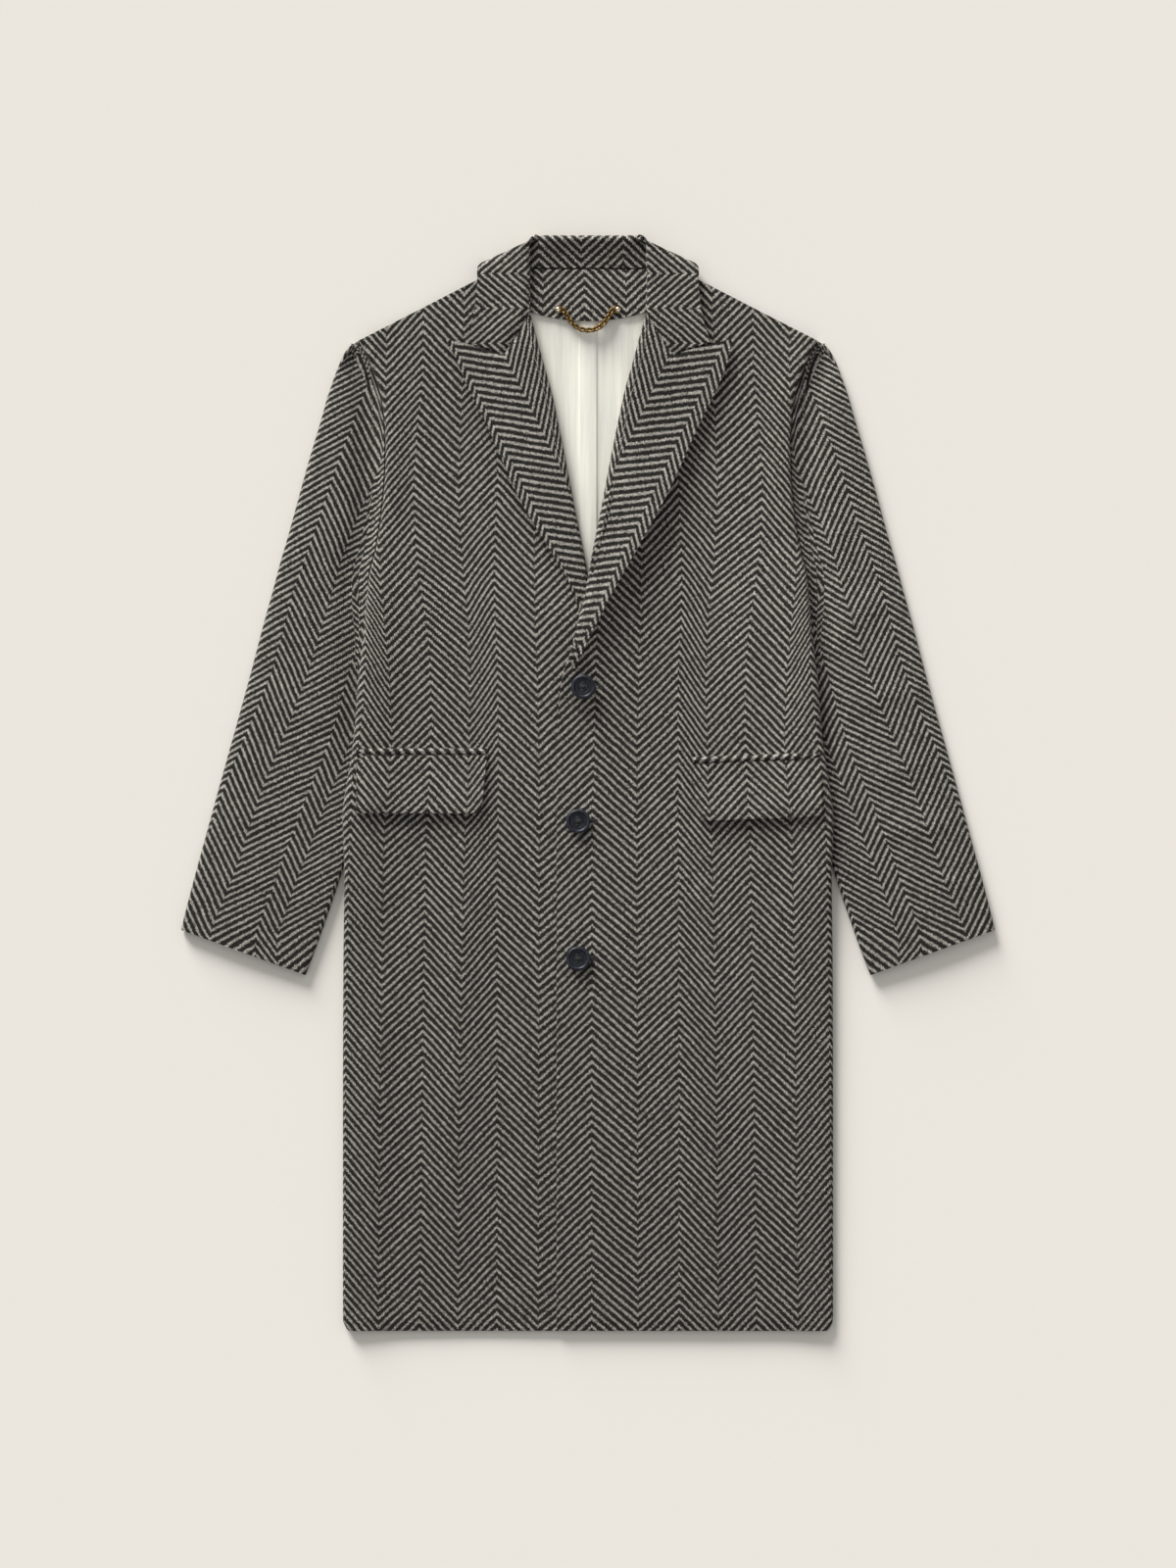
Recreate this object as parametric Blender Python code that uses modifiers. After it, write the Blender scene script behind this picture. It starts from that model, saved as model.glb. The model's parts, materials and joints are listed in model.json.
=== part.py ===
"""Single-breasted wool overcoat laid flat on its back, face up, collar towards +Y.

All sizes in the tables are millimetres. "Right" and "left" are the wearer's, so the left side is at
+X. Tables give one half of the coat, measured outwards from the centre line.
"""
import math
from collections import namedtuple

import bmesh
import bpy
from mathutils import Vector
from mathutils.bvhtree import BVHTree

MM = 0.001
GAP = 0.35                # clearance between neighbouring pieces
WOOL = 2.2                # overcoating wall
LAPEL_WALL = 3.0          # facing and turned front pressed together
COLLAR_WALL = 2.6
LINING_WALL = 1.0
FLAP_WALL = 2.4
JET_WALL = 1.8
RIGHT, LEFT = -1, 1
NECK_SEAM_Y = 526.0
NECK_HALF = 72.0
LAPEL_INSET = 9.5         # front edge lies this far inside the lapel's fold
LAPEL_RETURN = 12.0       # facing turned back inside the coat

FrontRow = namedtuple("FrontRow", "inner_x inner_y outer_x outer_y gap turn")
FRONT_ROWS = (
    FrontRow(80, 531, 234, 452, 0.6, 7),
    FrontRow(76, 520, 226, 437, 0.6, 8),
    FrontRow(70, 504, 217, 415, 0.6, 8),
    FrontRow(58.5, 478, 210, 390, 0.6, 8),
    FrontRow(50, 448, 207, 362, 0.6, 8),
    FrontRow(41, 415, 206.5, 330, 0.6, 8),
    FrontRow(31, 375, 208, 300, 0.6, 8),
    FrontRow(23.5, 335, 212, 265, 0.6, 9),
    FrontRow(15, 292, 217, 237, 1.0, 10),
    FrontRow(7.5, 250, 223, 213, 1.8, 12),
    FrontRow(0, 213, 226, 182, 3.0, 16),
    FrontRow(-9, 170, 230, 140, 3.4, 18),
    FrontRow(-17, 137, 234, 110, 3.4, 18),
    FrontRow(-27, 105, 235.5, 90, 3.4, 18),
    FrontRow(-31, 60, 238, 56, 3.4, 18),
    FrontRow(-32, 28, 241.5, 28, 3.4, 18),
    FrontRow(-32, 0, 246, 0, 3.4, 18),
    FrontRow(-32, -29, 250, -29, 3.4, 18),
    FrontRow(-32, -60, 249.5, -60, 3.4, 18),
    FrontRow(-32, -95, 248.5, -95, 3.4, 18),
    FrontRow(-32, -180, 249.5, -180, 3.4, 18),
    FrontRow(-32, -290, 250, -290, 3.4, 18),
    FrontRow(-32, -410, 250, -410, 3.4, 18),
    FrontRow(-32, -530, 250, -530, 3.4, 18),
    FrontRow(-32, -550, 249, -550, 3.4, 18),
    FrontRow(-31, -557.8, 244, -557.8, 3.4, 15),
)
LAPEL_ROWS_ON_FRONT = 12  # the first rows, whose inner edge lies inside the lapel's fold

SleeveRow = namedtuple("SleeveRow", "inner_x inner_y outer_x outer_y inner_gap")
SLEEVE_ROWS = (
    SleeveRow(234, 452, 243, 447.5, 2.4),
    SleeveRow(226, 437, 250, 438, 2.4),
    SleeveRow(217, 415, 258, 419, 2.4),
    SleeveRow(210, 390, 266, 396, 2.4),
    SleeveRow(207, 362, 274, 368, 2.4),
    SleeveRow(206.5, 330, 283, 338, 2.4),
    SleeveRow(208, 300, 291, 310, 2.2),
    SleeveRow(212, 265, 300, 277, 1.8),
    SleeveRow(217, 237, 307.5, 250, 1.2),
    SleeveRow(223, 213, 314, 228, 0.6),
    SleeveRow(223, 185, 321.5, 200, 0.6),
    SleeveRow(221, 140, 333, 158, 0.6),
    SleeveRow(221, 95, 344, 116, 0.6),
    SleeveRow(224, 50, 355.5, 74, 0.6),
    SleeveRow(230, 5, 367.5, 31, 0.6),
    SleeveRow(239, -42, 380, -14, 0.8),
    SleeveRow(250, -87, 392, -58, 2.6),
    SleeveRow(264, -130, 403.5, -100, 3.4),
    SleeveRow(279, -172, 412.5, -135, 3.4),
    SleeveRow(288, -195, 415.5, -149, 3.4),
)
SLEEVE_GAP = 3.4
FIRST_UNDER_SLEEVE_ROW = 3

LapelRow = namedtuple("LapelRow", "roll_x roll_y edge_y edge_right edge_left")
LAPEL_ROWS = (
    LapelRow(58.5, 478.5, 453, 145, 147),
    LapelRow(53.5, 460, 436, 136, 144),
    LapelRow(46, 432, 405, 122.5, 132.5),
    LapelRow(37, 400, 370, 105, 115),
    LapelRow(29.5, 365, 332, 88.5, 98),
    LapelRow(21.5, 325, 290, 70, 78),
    LapelRow(12, 275, 240, 39.5, 50.5),
    LapelRow(4, 235, 205, 19, 30.5),
    LapelRow(-3, 195, 172, 4, 12),
    LapelRow(-11, 162, 150, 0, 2),
)

GorgePoint = namedtuple("GorgePoint", "across x y")
GORGE = (                 # seam of collar and lapel, then the lapel's free top edge
    GorgePoint(0.0, 58.5, 479),
    GorgePoint(0.15, 72, 458),
    GorgePoint(0.34, 88, 436),
    GorgePoint(0.46, 98, 442),
    GorgePoint(0.62, 113, 446),
    GorgePoint(0.77, 125, 450),
    GorgePoint(1.0, 146, 454),
)
NEAR = (-8, 0, 8)         # offsets at which the collar looks for the front below it
COLLAR_SHARE = 0.77       # the collar's corner, as a share of the lapel's top edge
GORGE_FADE = (1.0, 0.62, 0.22)     # how much of the notch shows in each row below or above it

CollarRow = namedtuple("CollarRow", "seam_x seam_y seam_z roll_x roll_y roll_z rim_x rim_y rim_z")
COLLAR_ROWS = (
    CollarRow(62, 484, 8.9, 58.5, 482, 15.0, 125, 451, 12.0),
    CollarRow(66, 495, 8.9, 59, 493, 15.5, 119, 468, 12.0),
    CollarRow(70, 507, 8.9, 59, 507, 16.0, 115.5, 486, 12.5),
    CollarRow(73, 516, 8.9, 59, 522, 16.5, 113, 503, 13.0),
    CollarRow(75, 524, 8.9, 59, 538, 17.0, 113, 517, 12.5),
    CollarRow(72, 529.5, 8.9, 58.5, 550, 17.2, 112, 528, 9.5),
    CollarRow(64, 529.0, 8.6, 54, 557, 17.2, 103, 532.5, 4.0),
    CollarRow(52, 526.5, 8.2, 45, 559, 17.0, 82, 521, 0.0),
    CollarRow(30, 526.4, 8.1, 26, 559, 17.0, 46, 507, 0.0),
    CollarRow(0, 526.4, 8.1, 0, 559, 17.0, 0, 503, 0.0),
)

FlapRow = namedtuple("FlapRow", "side jet_inner_y jet_outer_y inner_x outer_x drop")
FLAP_ROWS = (
    FlapRow(RIGHT, 36.5, 36.5, 103, 236, 59),
    FlapRow(LEFT, 27.5, 32.5, 107, 238, 58),
)
JET_HEIGHT = 7.0
BUTTON_DIAMETER = 25.0
ButtonPlace = namedtuple("ButtonPlace", "name x y")
BUTTONS = (
    ButtonPlace("button_top", -5, 99),
    ButtonPlace("button_middle", -10, -38),
    ButtonPlace("button_bottom", -10, -178),
)
RIVET_X = 30.5
HANGER_Y = 483.5
CHAIN_HALF = 25.0
CHAIN_SAG = 21.0
CHAIN_WIRE = 3.4
CHAIN_END = 4.4


def clear_scene():
    """Starts from an empty file."""
    for item in list(bpy.data.objects):
        bpy.data.objects.remove(item, do_unlink=True)


def finish(name, colour, roughness, metallic=0.0):
    """A plain material of one linear colour."""
    material = bpy.data.materials.new(name)
    material.use_nodes = True
    shader = material.node_tree.nodes["Principled BSDF"]
    shader.inputs["Base Color"].default_value = (*colour, 1.0)
    shader.inputs["Roughness"].default_value = roughness
    shader.inputs["Metallic"].default_value = metallic
    return material


def mix(start, end, share):
    """A value part of the way from start to end."""
    return start + (end - start) * share


def smooth_step(low, high, value):
    """A soft step from 0 at low to 1 at high."""
    share = min(1.0, max(0.0, (value - low) / (high - low)))
    return share * share * (3.0 - 2.0 * share)


def add_object(name, mesh, material, parent):
    """Puts a mesh in the parts collection as an object with one material."""
    item = bpy.data.objects.new(name, mesh)
    item.data.materials.append(material)
    item.parent = parent
    bpy.data.collections["overcoat"].objects.link(item)
    return item


def cloth(name, grid, wall, material, parent, outwards=True, even=True):
    """One cloth piece: a grid of points (rows of x, y, z), thickened to its wall.

    The grid is the piece's hidden face, and the wall rises from it; with outwards False it is the
    face that shows, and the wall goes inwards. A sheet with tight twists takes no even offset.
    """
    columns = len(grid[0])
    sheet = bmesh.new()
    bmesh.ops.create_grid(sheet, x_segments=columns - 1, y_segments=len(grid) - 1, size=1.0)
    for index, vert in enumerate(sheet.verts):
        row, column = divmod(index, columns)
        vert.co = Vector(grid[row][column]) * MM
    sheet.normal_update()
    if sum(face.normal.z * face.calc_area() for face in sheet.faces) < 0.0:
        bmesh.ops.reverse_faces(sheet, faces=sheet.faces)
    mesh = bpy.data.meshes.new(name)
    sheet.to_mesh(mesh)
    sheet.free()
    item = add_object(name, mesh, material, parent)
    solid = item.modifiers.new("wall", "SOLIDIFY")
    solid.thickness = wall * MM
    solid.offset = 1.0 if outwards else -1.0
    solid.use_even_offset = even
    solid.use_quality_normals = True
    return item


def surfaces(items):
    """Search trees of the items' surfaces, modifiers included."""
    bpy.context.view_layer.update()
    depsgraph = bpy.context.evaluated_depsgraph_get()
    return [BVHTree.FromObject(item, depsgraph) for item in items]


def top_at(trees, x, y):
    """Height of the highest surface at a place, or of the floor."""
    highest = 0.0
    for tree in trees:
        hit = tree.ray_cast(Vector((x * MM, y * MM, 0.5)), Vector((0.0, 0.0, -1.0)))[0]
        if hit is not None:
            highest = max(highest, hit.z / MM)
    return highest


def rest(plan, items, reach=1.0):
    """Heights at which a sheet over this plan clears everything under each point's cells."""
    trees = surfaces(items)
    rows, columns = len(plan), len(plan[0])
    heights = []
    for row in range(rows):
        line = []
        for column in range(columns):
            x, y = plan[row][column]
            highest = top_at(trees, x, y)
            for down in (-1, 0, 1):
                for across in (-1, 0, 1):
                    near_row, near_column = row + down, column + across
                    if (down, across) == (0, 0) or not (0 <= near_row < rows and 0 <= near_column < columns):
                        continue
                    near_x, near_y = plan[near_row][near_column]
                    for share in (0.25, 0.5, 0.75, 1.0):
                        part = share * reach
                        highest = max(highest, top_at(trees, mix(x, near_x, part), mix(y, near_y, part)))
            line.append(highest + GAP)
        heights.append(line)
    return heights


def soften(heights, passes):
    """Lets the cloth bridge its steps: points only ever rise towards their neighbours."""
    for _ in range(passes):
        rows, columns = len(heights), len(heights[0])
        before = [list(line) for line in heights]
        for row in range(rows):
            for column in range(columns):
                near = [before[max(row - 1, 0)][column], before[min(row + 1, rows - 1)][column],
                        before[row][max(column - 1, 0)], before[row][min(column + 1, columns - 1)]]
                heights[row][column] = max(before[row][column], sum(near) / 4)
    return heights


def fold(edge, inward, low, high, turn, wall):
    """Points round a folded edge, from the top layer down to the end of the turned-under return.

    edge is the fold's outermost point in plan and inward the unit direction away from it; low and
    high are the heights of the fold's inner faces.
    """
    radius = (high - low) / 2
    points = []
    for step in range(1, 4):
        angle = math.pi * step / 4
        depth = wall + radius * (1.0 - math.sin(angle))
        height = (high + low) / 2 + radius * math.cos(angle)
        points.append((edge[0] + inward[0] * depth, edge[1] + inward[1] * depth, height))
    for depth in (wall + radius, wall + radius + turn):
        points.append((edge[0] + inward[0] * depth, edge[1] + inward[1] * depth, low))
    return points


def toward(start, end):
    """The unit direction from one place to another, and the distance."""
    length = math.hypot(end[0] - start[0], end[1] - start[1])
    return (end[0] - start[0]) / length, (end[1] - start[1]) / length, length


def neck_lift(y):
    """The back rises over the collar's fall, which passes under it."""
    return (COLLAR_WALL + 2 * GAP) * smooth_step(462, 496, y)


def back_panel(material, parent):
    """The back: flat on the floor, raised at the neck over the collar's fall."""
    spans = (-1.0, -0.86, -0.62, -0.42, -0.2, 0.0, 0.2, 0.42, 0.62, 0.86, 1.0)
    grid = []
    for index, row in enumerate(FRONT_ROWS):
        inner_y = NECK_SEAM_Y if index == 0 else row.inner_y - 0.5 * (index < 3)
        on_floor = smooth_step(225, 190, row.outer_y)
        half = row.outer_x - 1.0 - on_floor * (row.turn + 5.0)
        line = []
        for span in spans:
            x = half * span
            slant = max(0.0, (abs(x) - NECK_HALF) / (half - NECK_HALF))
            y = mix(inner_y, row.outer_y, slant) + 1.0 * (index == len(FRONT_ROWS) - 1)
            line.append((x, y, neck_lift(y)))
        grid.append(line)
    return cloth("back", grid, WOOL, material, parent)


def lining_panel(material, parent, below):
    """The lining seen in the neck opening, with its centre pleat."""
    pleat = 9.0
    plan = []
    for y, half in ((486, 66), (470, 66), (430, 60), (385, 54), (340, 46), (290, 38), (240, 32), (190, 28)):
        outward = (pleat, pleat + 0.8, half / 2, half)
        plan.append([(-x, y) for x in reversed(outward)] + [(x, y) for x in outward])
    heights = rest(plan, below, 0.3)
    grid = []
    for spots, tops in zip(plan, heights):
        grid.append([(x, y, z + 1.2 * (abs(x) <= pleat)) for (x, y), z in zip(spots, tops)])
    return cloth("back_lining", grid, LINING_WALL, material, parent)


def facing_panel(material, parent, below):
    """The neck facing between the neck seam and the lining."""
    plan = []
    for share in (0.0, 0.3, 0.6, 0.85, 1.0):
        line = []
        for span in (-1.0, -0.75, -0.5, -0.25, 0.0, 0.25, 0.5, 0.75, 1.0):
            x = 62.0 * span
            lowest = 472.0 + 10.0 * abs(span) ** 2
            line.append((x, mix(NECK_SEAM_Y - GAP, lowest, share)))
        plan.append(line)
    heights = rest(plan, below, 1.0)
    grid = [[(x, y, z) for (x, y), z in zip(spots, tops)] for spots, tops in zip(plan, heights)]
    return cloth("neck_facing", grid, WOOL, material, parent)


def sleeve(side, material, parent):
    """A sleeve pressed flat: the top piece wraps both folds, the under piece closes it."""
    name = "right" if side == RIGHT else "left"
    top_grid, under_grid = [], []
    for index, row in enumerate(SLEEVE_ROWS):
        inner = (side * (row.inner_x + 2 * GAP), row.inner_y)
        outer = (side * row.outer_x, row.outer_y)
        dx, dy, width = toward(inner, outer)
        floor = WOOL
        inner_high, outer_high = floor + row.inner_gap, floor + SLEEVE_GAP
        flat = width - 2 * WOOL - (row.inner_gap + SLEEVE_GAP) / 2
        turn = max(0.4, min(18.0, flat / 2 - 0.6))
        start, end = WOOL + row.inner_gap / 2, width - WOOL - SLEEVE_GAP / 2
        line = list(reversed(fold(inner, (dx, dy), floor, inner_high, turn, WOOL)))
        for share in (0.0, 0.2, 0.4, 0.6, 0.8, 1.0):
            depth = mix(start, end, share)
            line.append((inner[0] + dx * depth, inner[1] + dy * depth, mix(inner_high, outer_high, share)))
        line += fold(outer, (-dx, -dy), floor, outer_high, turn, WOOL)
        top_grid.append(line)
        if index >= FIRST_UNDER_SLEEVE_ROW:
            first, last = start + turn + 1.0, end - turn - 1.0
            depths = [mix(first, last, share) for share in (0.0, 0.5, 1.0)]
            under_grid.append([(inner[0] + dx * depth, inner[1] + dy * depth, 0.0) for depth in depths])
    top = cloth("top_sleeve_" + name, top_grid, WOOL, material, parent)
    under = cloth("under_sleeve_" + name, under_grid, WOOL, material, parent)
    return [top, under]


def front_panel(side, material, parent, below):
    """A front: top layer, rolled side and the part turned under to the side seam."""
    name = "front_right" if side == RIGHT else "front_left"
    plan, folds, turns = [], [], []
    for index, row in enumerate(FRONT_ROWS):
        inset = LAPEL_INSET if 3 <= index < LAPEL_ROWS_ON_FRONT else 0.0
        inner = (side * (row.inner_x + inset), row.inner_y)
        outer = (side * row.outer_x, row.outer_y)
        dx, dy, width = toward(outer, inner)
        near_side = (WOOL + row.gap / 2, row.turn * 0.6 + 4, row.turn + 9, row.turn + 26)
        near_front = (width - 58, width - 30, width - 14, width)
        middle = mix(near_side[-1], near_front[0], 0.5)
        depths = (*near_side, middle, *near_front)
        plan.append([(outer[0] + dx * depth, outer[1] + dy * depth) for depth in reversed(depths)])
        folds.append((outer, (dx, dy), row))
        depth = WOOL + row.gap / 2 + row.turn
        turns.append([(outer[0] + dx * part, outer[1] + dy * part) for part in (0.5, depth / 2, depth)])
    base = rest(plan, below)
    bottoms = rest(turns, below, 1.0)
    grid = []
    for index in range(len(FRONT_ROWS)):
        low = max(bottoms[index]) + WOOL
        high = low + folds[index][2].gap
        columns = len(plan[index])
        for column in range(columns - 3, columns):
            base[index][column] = max(base[index][column], high)
        if 3 <= index < LAPEL_ROWS_ON_FRONT + 1:
            for column in (0, 1):
                base[index][column] += LAPEL_WALL + 4 * GAP
    soften(base, 3)
    for index in range(len(FRONT_ROWS)):
        outer, inward, row = folds[index]
        low = max(bottoms[index]) + WOOL
        high = max(low + row.gap, base[index][-1])
        high = min(high, low + 3.6)
        base[index][-1] = high
        line = [(x, y, z) for (x, y), z in zip(plan[index], base[index])]
        line += fold(outer, inward, low, high, row.turn, WOOL)
        grid.append(line)
    return cloth(name, grid, WOOL, material, parent)


def gorge_offset(across, straight):
    """How far the gorge lies from a straight edge, at a share of the lapel's width."""
    for first, second in zip(GORGE, GORGE[1:]):
        if first.across <= across <= second.across:
            share = (across - first.across) / (second.across - first.across)
            return mix(first.x, second.x, share) - straight[0], mix(first.y, second.y, share) - straight[1]
    return 0.0, 0.0


def lapel(side, material, parent, inside, below):
    """A lapel folded back at its roll line over the front."""
    name = "lapel_right" if side == RIGHT else "lapel_left"
    plan, returns, rolls = [], [], []
    for index, row in enumerate(LAPEL_ROWS):
        edge_x = row.edge_right if side == RIGHT else row.edge_left
        roll = (side * row.roll_x, row.roll_y)
        edge = (side * edge_x, row.edge_y)
        fade = GORGE_FADE[index] if index < len(GORGE_FADE) else 0.0
        dx, dy, width = toward(roll, edge)
        depths = [min(5.0, width * 0.3)] + [width * point.across for point in GORGE[1:]]
        line = []
        for depth in depths:
            across = depth / width
            off_x, off_y = gorge_offset(across, (mix(GORGE[0].x, GORGE[-1].x, across),
                                                 mix(GORGE[0].y, GORGE[-1].y, across)))
            line.append((roll[0] + dx * depth + side * off_x * fade, roll[1] + dy * depth + off_y * fade
                         - GAP * (index == 0)))
        plan.append(line)
        rolls.append((roll, (dx, dy)))
        length = min(LAPEL_RETURN, width * 0.8)
        returns.append([(roll[0] + dx * part, roll[1] + dy * part) for part in (0.5, length)])
    tops = soften(rest(plan, below), 2)
    bottoms = rest(returns, inside)
    grid = []
    for index in range(len(LAPEL_ROWS)):
        roll, inward = rolls[index]
        low = max(bottoms[index]) + LAPEL_WALL
        high = max(tops[index][:2] + [low + WOOL + 2 * GAP])
        tops[index][0] = high
        line = list(reversed(fold(roll, inward, low, high, 6.0, LAPEL_WALL)))
        line += [(x, y, z) for (x, y), z in zip(plan[index], tops[index])]
        grid.append(line)
    return cloth(name, grid, LAPEL_WALL, material, parent, even=False)


def collar_panel(material, parent, fronts):
    """Stand and fall in one, folded at the roll line; its middle passes under the back's neck."""
    trees = surfaces(fronts)
    half_grid = []
    for index, row in enumerate(COLLAR_ROWS):
        fade = GORGE_FADE[index] if index < len(GORGE_FADE) else 0.0
        dx, dy, width = toward((row.roll_x, row.roll_y), (row.rim_x, row.rim_y))
        sx, sy, stand = toward((row.roll_x, row.roll_y), (row.seam_x, row.seam_y))
        drop = row.roll_z - row.seam_z
        line = [(row.seam_x, row.seam_y, row.seam_z)]
        under_fall = index >= 7
        for share, height in ((0.6, 0.12), (0.25, 0.5)):
            line.append((row.roll_x + sx * stand * share, row.roll_y + sy * stand * share,
                         row.seam_z + drop * height))
        if under_fall:
            line.append((row.roll_x + sx * 2.5, row.roll_y + sy * 2.5, row.roll_z - 1.2))
            line.append((row.roll_x, row.roll_y, row.roll_z - 4.5))
            fall = ((0.1, 0.42), (0.24, 0.14), (0.42, 0.0), (0.6, 0.0), (0.8, 0.0), (1.0, 0.0))
        else:
            line[1] = (row.roll_x + sx * stand * 0.5, row.roll_y + sy * stand * 0.5, row.seam_z)
            line[2] = (row.roll_x + sx * min(2.0, stand * 0.3), row.roll_y + sy * min(2.0, stand * 0.3),
                       row.seam_z + 0.4)
            line.append((row.roll_x, row.roll_y, (row.roll_z + row.seam_z) / 2 - 0.5))
            line.append((row.roll_x + dx * 1.2, row.roll_y + dy * 1.2, row.roll_z - 1.5))
            fall = ((0.1, 1.0), (0.24, 0.85), (0.44, 0.6), (0.6, 0.4), (0.8, 0.2), (1.0, 0.0))
        for share, height in fall:
            x, y = row.roll_x + dx * width * share, row.roll_y + dy * width * share
            first = COLLAR_ROWS[0]
            off_x, off_y = gorge_offset(share * COLLAR_SHARE, (mix(first.roll_x, first.rim_x, share),
                                                               mix(first.roll_y, first.rim_y, share)))
            x, y = x + off_x * fade, y + off_y * fade + 3 * GAP * (index == 0)
            z = row.rim_z + (row.roll_z - row.rim_z) * height
            if index < 5:
                around = max(top_at(trees, side * (x + aside), y + along)
                             for side in (RIGHT, LEFT) for aside in NEAR for along in NEAR)
                z = max(z, around + GAP + COLLAR_WALL + 0.3)
            line.append((x, y, z))
        half_grid.append(line)
    mirrored = [[(-x, y, z) for x, y, z in line] for line in reversed(half_grid[:-1])]
    return cloth("collar", half_grid + mirrored, COLLAR_WALL, material, parent, outwards=False, even=False)


def pocket(row, material, parent, front):
    """A jet and its flap, laid on the front."""
    name = "right" if row.side == RIGHT else "left"
    spans = [index / 10 for index in range(11)]
    made = []
    kinds = (("jet", JET_HEIGHT, 0.0, JET_WALL, 2), ("flap", -0.4, row.drop, FLAP_WALL, 6))
    for kind, top, drop, wall, lines in kinds:
        plan = []
        for step in range(lines):
            share = step / (lines - 1)
            line = []
            for span in spans:
                x = mix(row.inner_x, row.outer_x, span)
                level = mix(row.jet_inner_y, row.jet_outer_y, span) - JET_HEIGHT
                y = level + top - share * (drop if kind == "flap" else JET_HEIGHT)
                corner = 7.0 * (span == 0.0) * (share > 0.95) * (kind == "flap")
                lean = 5.0 * share * (1.0 - span) * (kind == "flap")
                line.append((row.side * (x + lean + corner * 0.4), y + corner))
            plan.append(line)
        heights = rest(plan, [front], 0.6)
        grid = [[(x, y, z + 0.15) for (x, y), z in zip(spots, tops)] for spots, tops in zip(plan, heights)]
        made.append(cloth("pocket_" + kind + "_" + name, grid, wall, material, parent))
    return made


def disc(name, profile, material, parent, steps=28):
    """A turned piece: profile is (radius, height) pairs from the axis on top to the axis below."""
    mesh = bpy.data.meshes.new(name)
    outline = bmesh.new()
    verts = [outline.verts.new((radius * MM, 0.0, height * MM)) for radius, height in profile]
    for first, second in zip(verts, verts[1:]):
        outline.edges.new((first, second))
    outline.to_mesh(mesh)
    outline.free()
    item = add_object(name, mesh, material, parent)
    screw = item.modifiers.new("turn", "SCREW")
    screw.axis = "Z"
    screw.steps = steps
    screw.render_steps = steps
    screw.use_merge_vertices = True
    screw.merge_threshold = 0.00001
    return item


def button(place, material, parent, front, cutters):
    """A turned button with four holes, resting on the front."""
    trees = surfaces([front])
    radius = BUTTON_DIAMETER / 2
    level = max(top_at(trees, place.x + radius * math.cos(turn / 4), place.y + radius * math.sin(turn / 4))
                for turn in range(26))
    profile = ((0, 3.0), (6.5, 3.0), (8.6, 3.6), (9.8, 4.5), (11.2, 4.6), (12.1, 4.0), (radius, 2.6),
               (12.0, 1.2), (10.0, 0.0), (0, 0.0))
    item = disc(place.name, profile, material, parent)
    item.location = Vector((place.x, place.y, level + GAP)) * MM
    for number in range(4):
        angle = math.pi / 4 + number * math.pi / 2
        bpy.ops.mesh.primitive_cylinder_add(vertices=10, radius=1.0 * MM, depth=0.02)
        cutter = bpy.context.object
        cutter.name = f"{place.name}_hole_{number}"
        cutter.location = item.location + Vector((2.7 * math.cos(angle), 2.7 * math.sin(angle), 0.0)) * MM
        for collection in list(cutter.users_collection):
            collection.objects.unlink(cutter)
        cutters.objects.link(cutter)
        cutter.hide_render = True
        cutter.display_type = "WIRE"
        hole = item.modifiers.new("hole", "BOOLEAN")
        hole.operation = "DIFFERENCE"
        hole.object = cutter
    return item


def rivet(name, x, facing, material, parent):
    """A domed rivet on the facing; gives the facing's height under it."""
    level = top_at(surfaces([facing]), x, HANGER_Y)
    dome = ((0, 2.6), (1.6, 2.3), (2.7, 1.4), (3.1, 0.4), (3.1, 0.0), (0, 0.0))
    item = disc(name, dome, material, parent, 16)
    item.location = Vector((x, HANGER_Y, level + GAP + 0.3)) * MM
    return level


def hanger_chain(material, pivot):
    """The chain at rest as one stiff catenary, with a ball at each end on the swing axis."""
    curve = bpy.data.curves.new("hanger_chain", "CURVE")
    curve.dimensions = "3D"
    curve.bevel_depth = CHAIN_WIRE / 2 * MM
    curve.bevel_resolution = 2
    curve.render_resolution_u = 0
    curve.use_fill_caps = True
    spline = curve.splines.new("POLY")
    steps = 18
    spline.points.add(steps)
    for step in range(steps + 1):
        across = -1.0 + 2.0 * step / steps
        drop = CHAIN_SAG * (1.0 - abs(across) ** 2.4)
        spline.points[step].co = (CHAIN_HALF * across * MM, -drop * MM, 0.0, 1.0)
    tube = bpy.data.objects.new("chain_tube", curve)
    bpy.data.collections["overcoat"].objects.link(tube)
    bpy.context.view_layer.update()
    mesh = bpy.data.meshes.new_from_object(tube.evaluated_get(bpy.context.evaluated_depsgraph_get()))
    bpy.data.objects.remove(tube, do_unlink=True)
    solid = bmesh.new()
    solid.from_mesh(mesh)
    bmesh.ops.remove_doubles(solid, verts=solid.verts, dist=0.00001)
    solid.to_mesh(mesh)
    solid.free()
    mesh.name = "hanger_chain"
    item = add_object("hanger_chain", mesh, material, pivot)
    for x in (-CHAIN_HALF, CHAIN_HALF):
        bpy.ops.mesh.primitive_uv_sphere_add(segments=12, ring_count=8, radius=CHAIN_END / 2 * MM)
        ball = bpy.context.object
        ball.name = "chain_end"
        for collection in list(ball.users_collection):
            collection.objects.unlink(ball)
        bpy.data.collections["cutters"].objects.link(ball)
        ball.parent = pivot
        ball.location = (x * MM, 0.0, 0.0)
        ball.hide_render = True
        ball.display_type = "WIRE"
        join = item.modifiers.new("end", "BOOLEAN")
        join.operation = "UNION"
        join.object = ball
    return item


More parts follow.
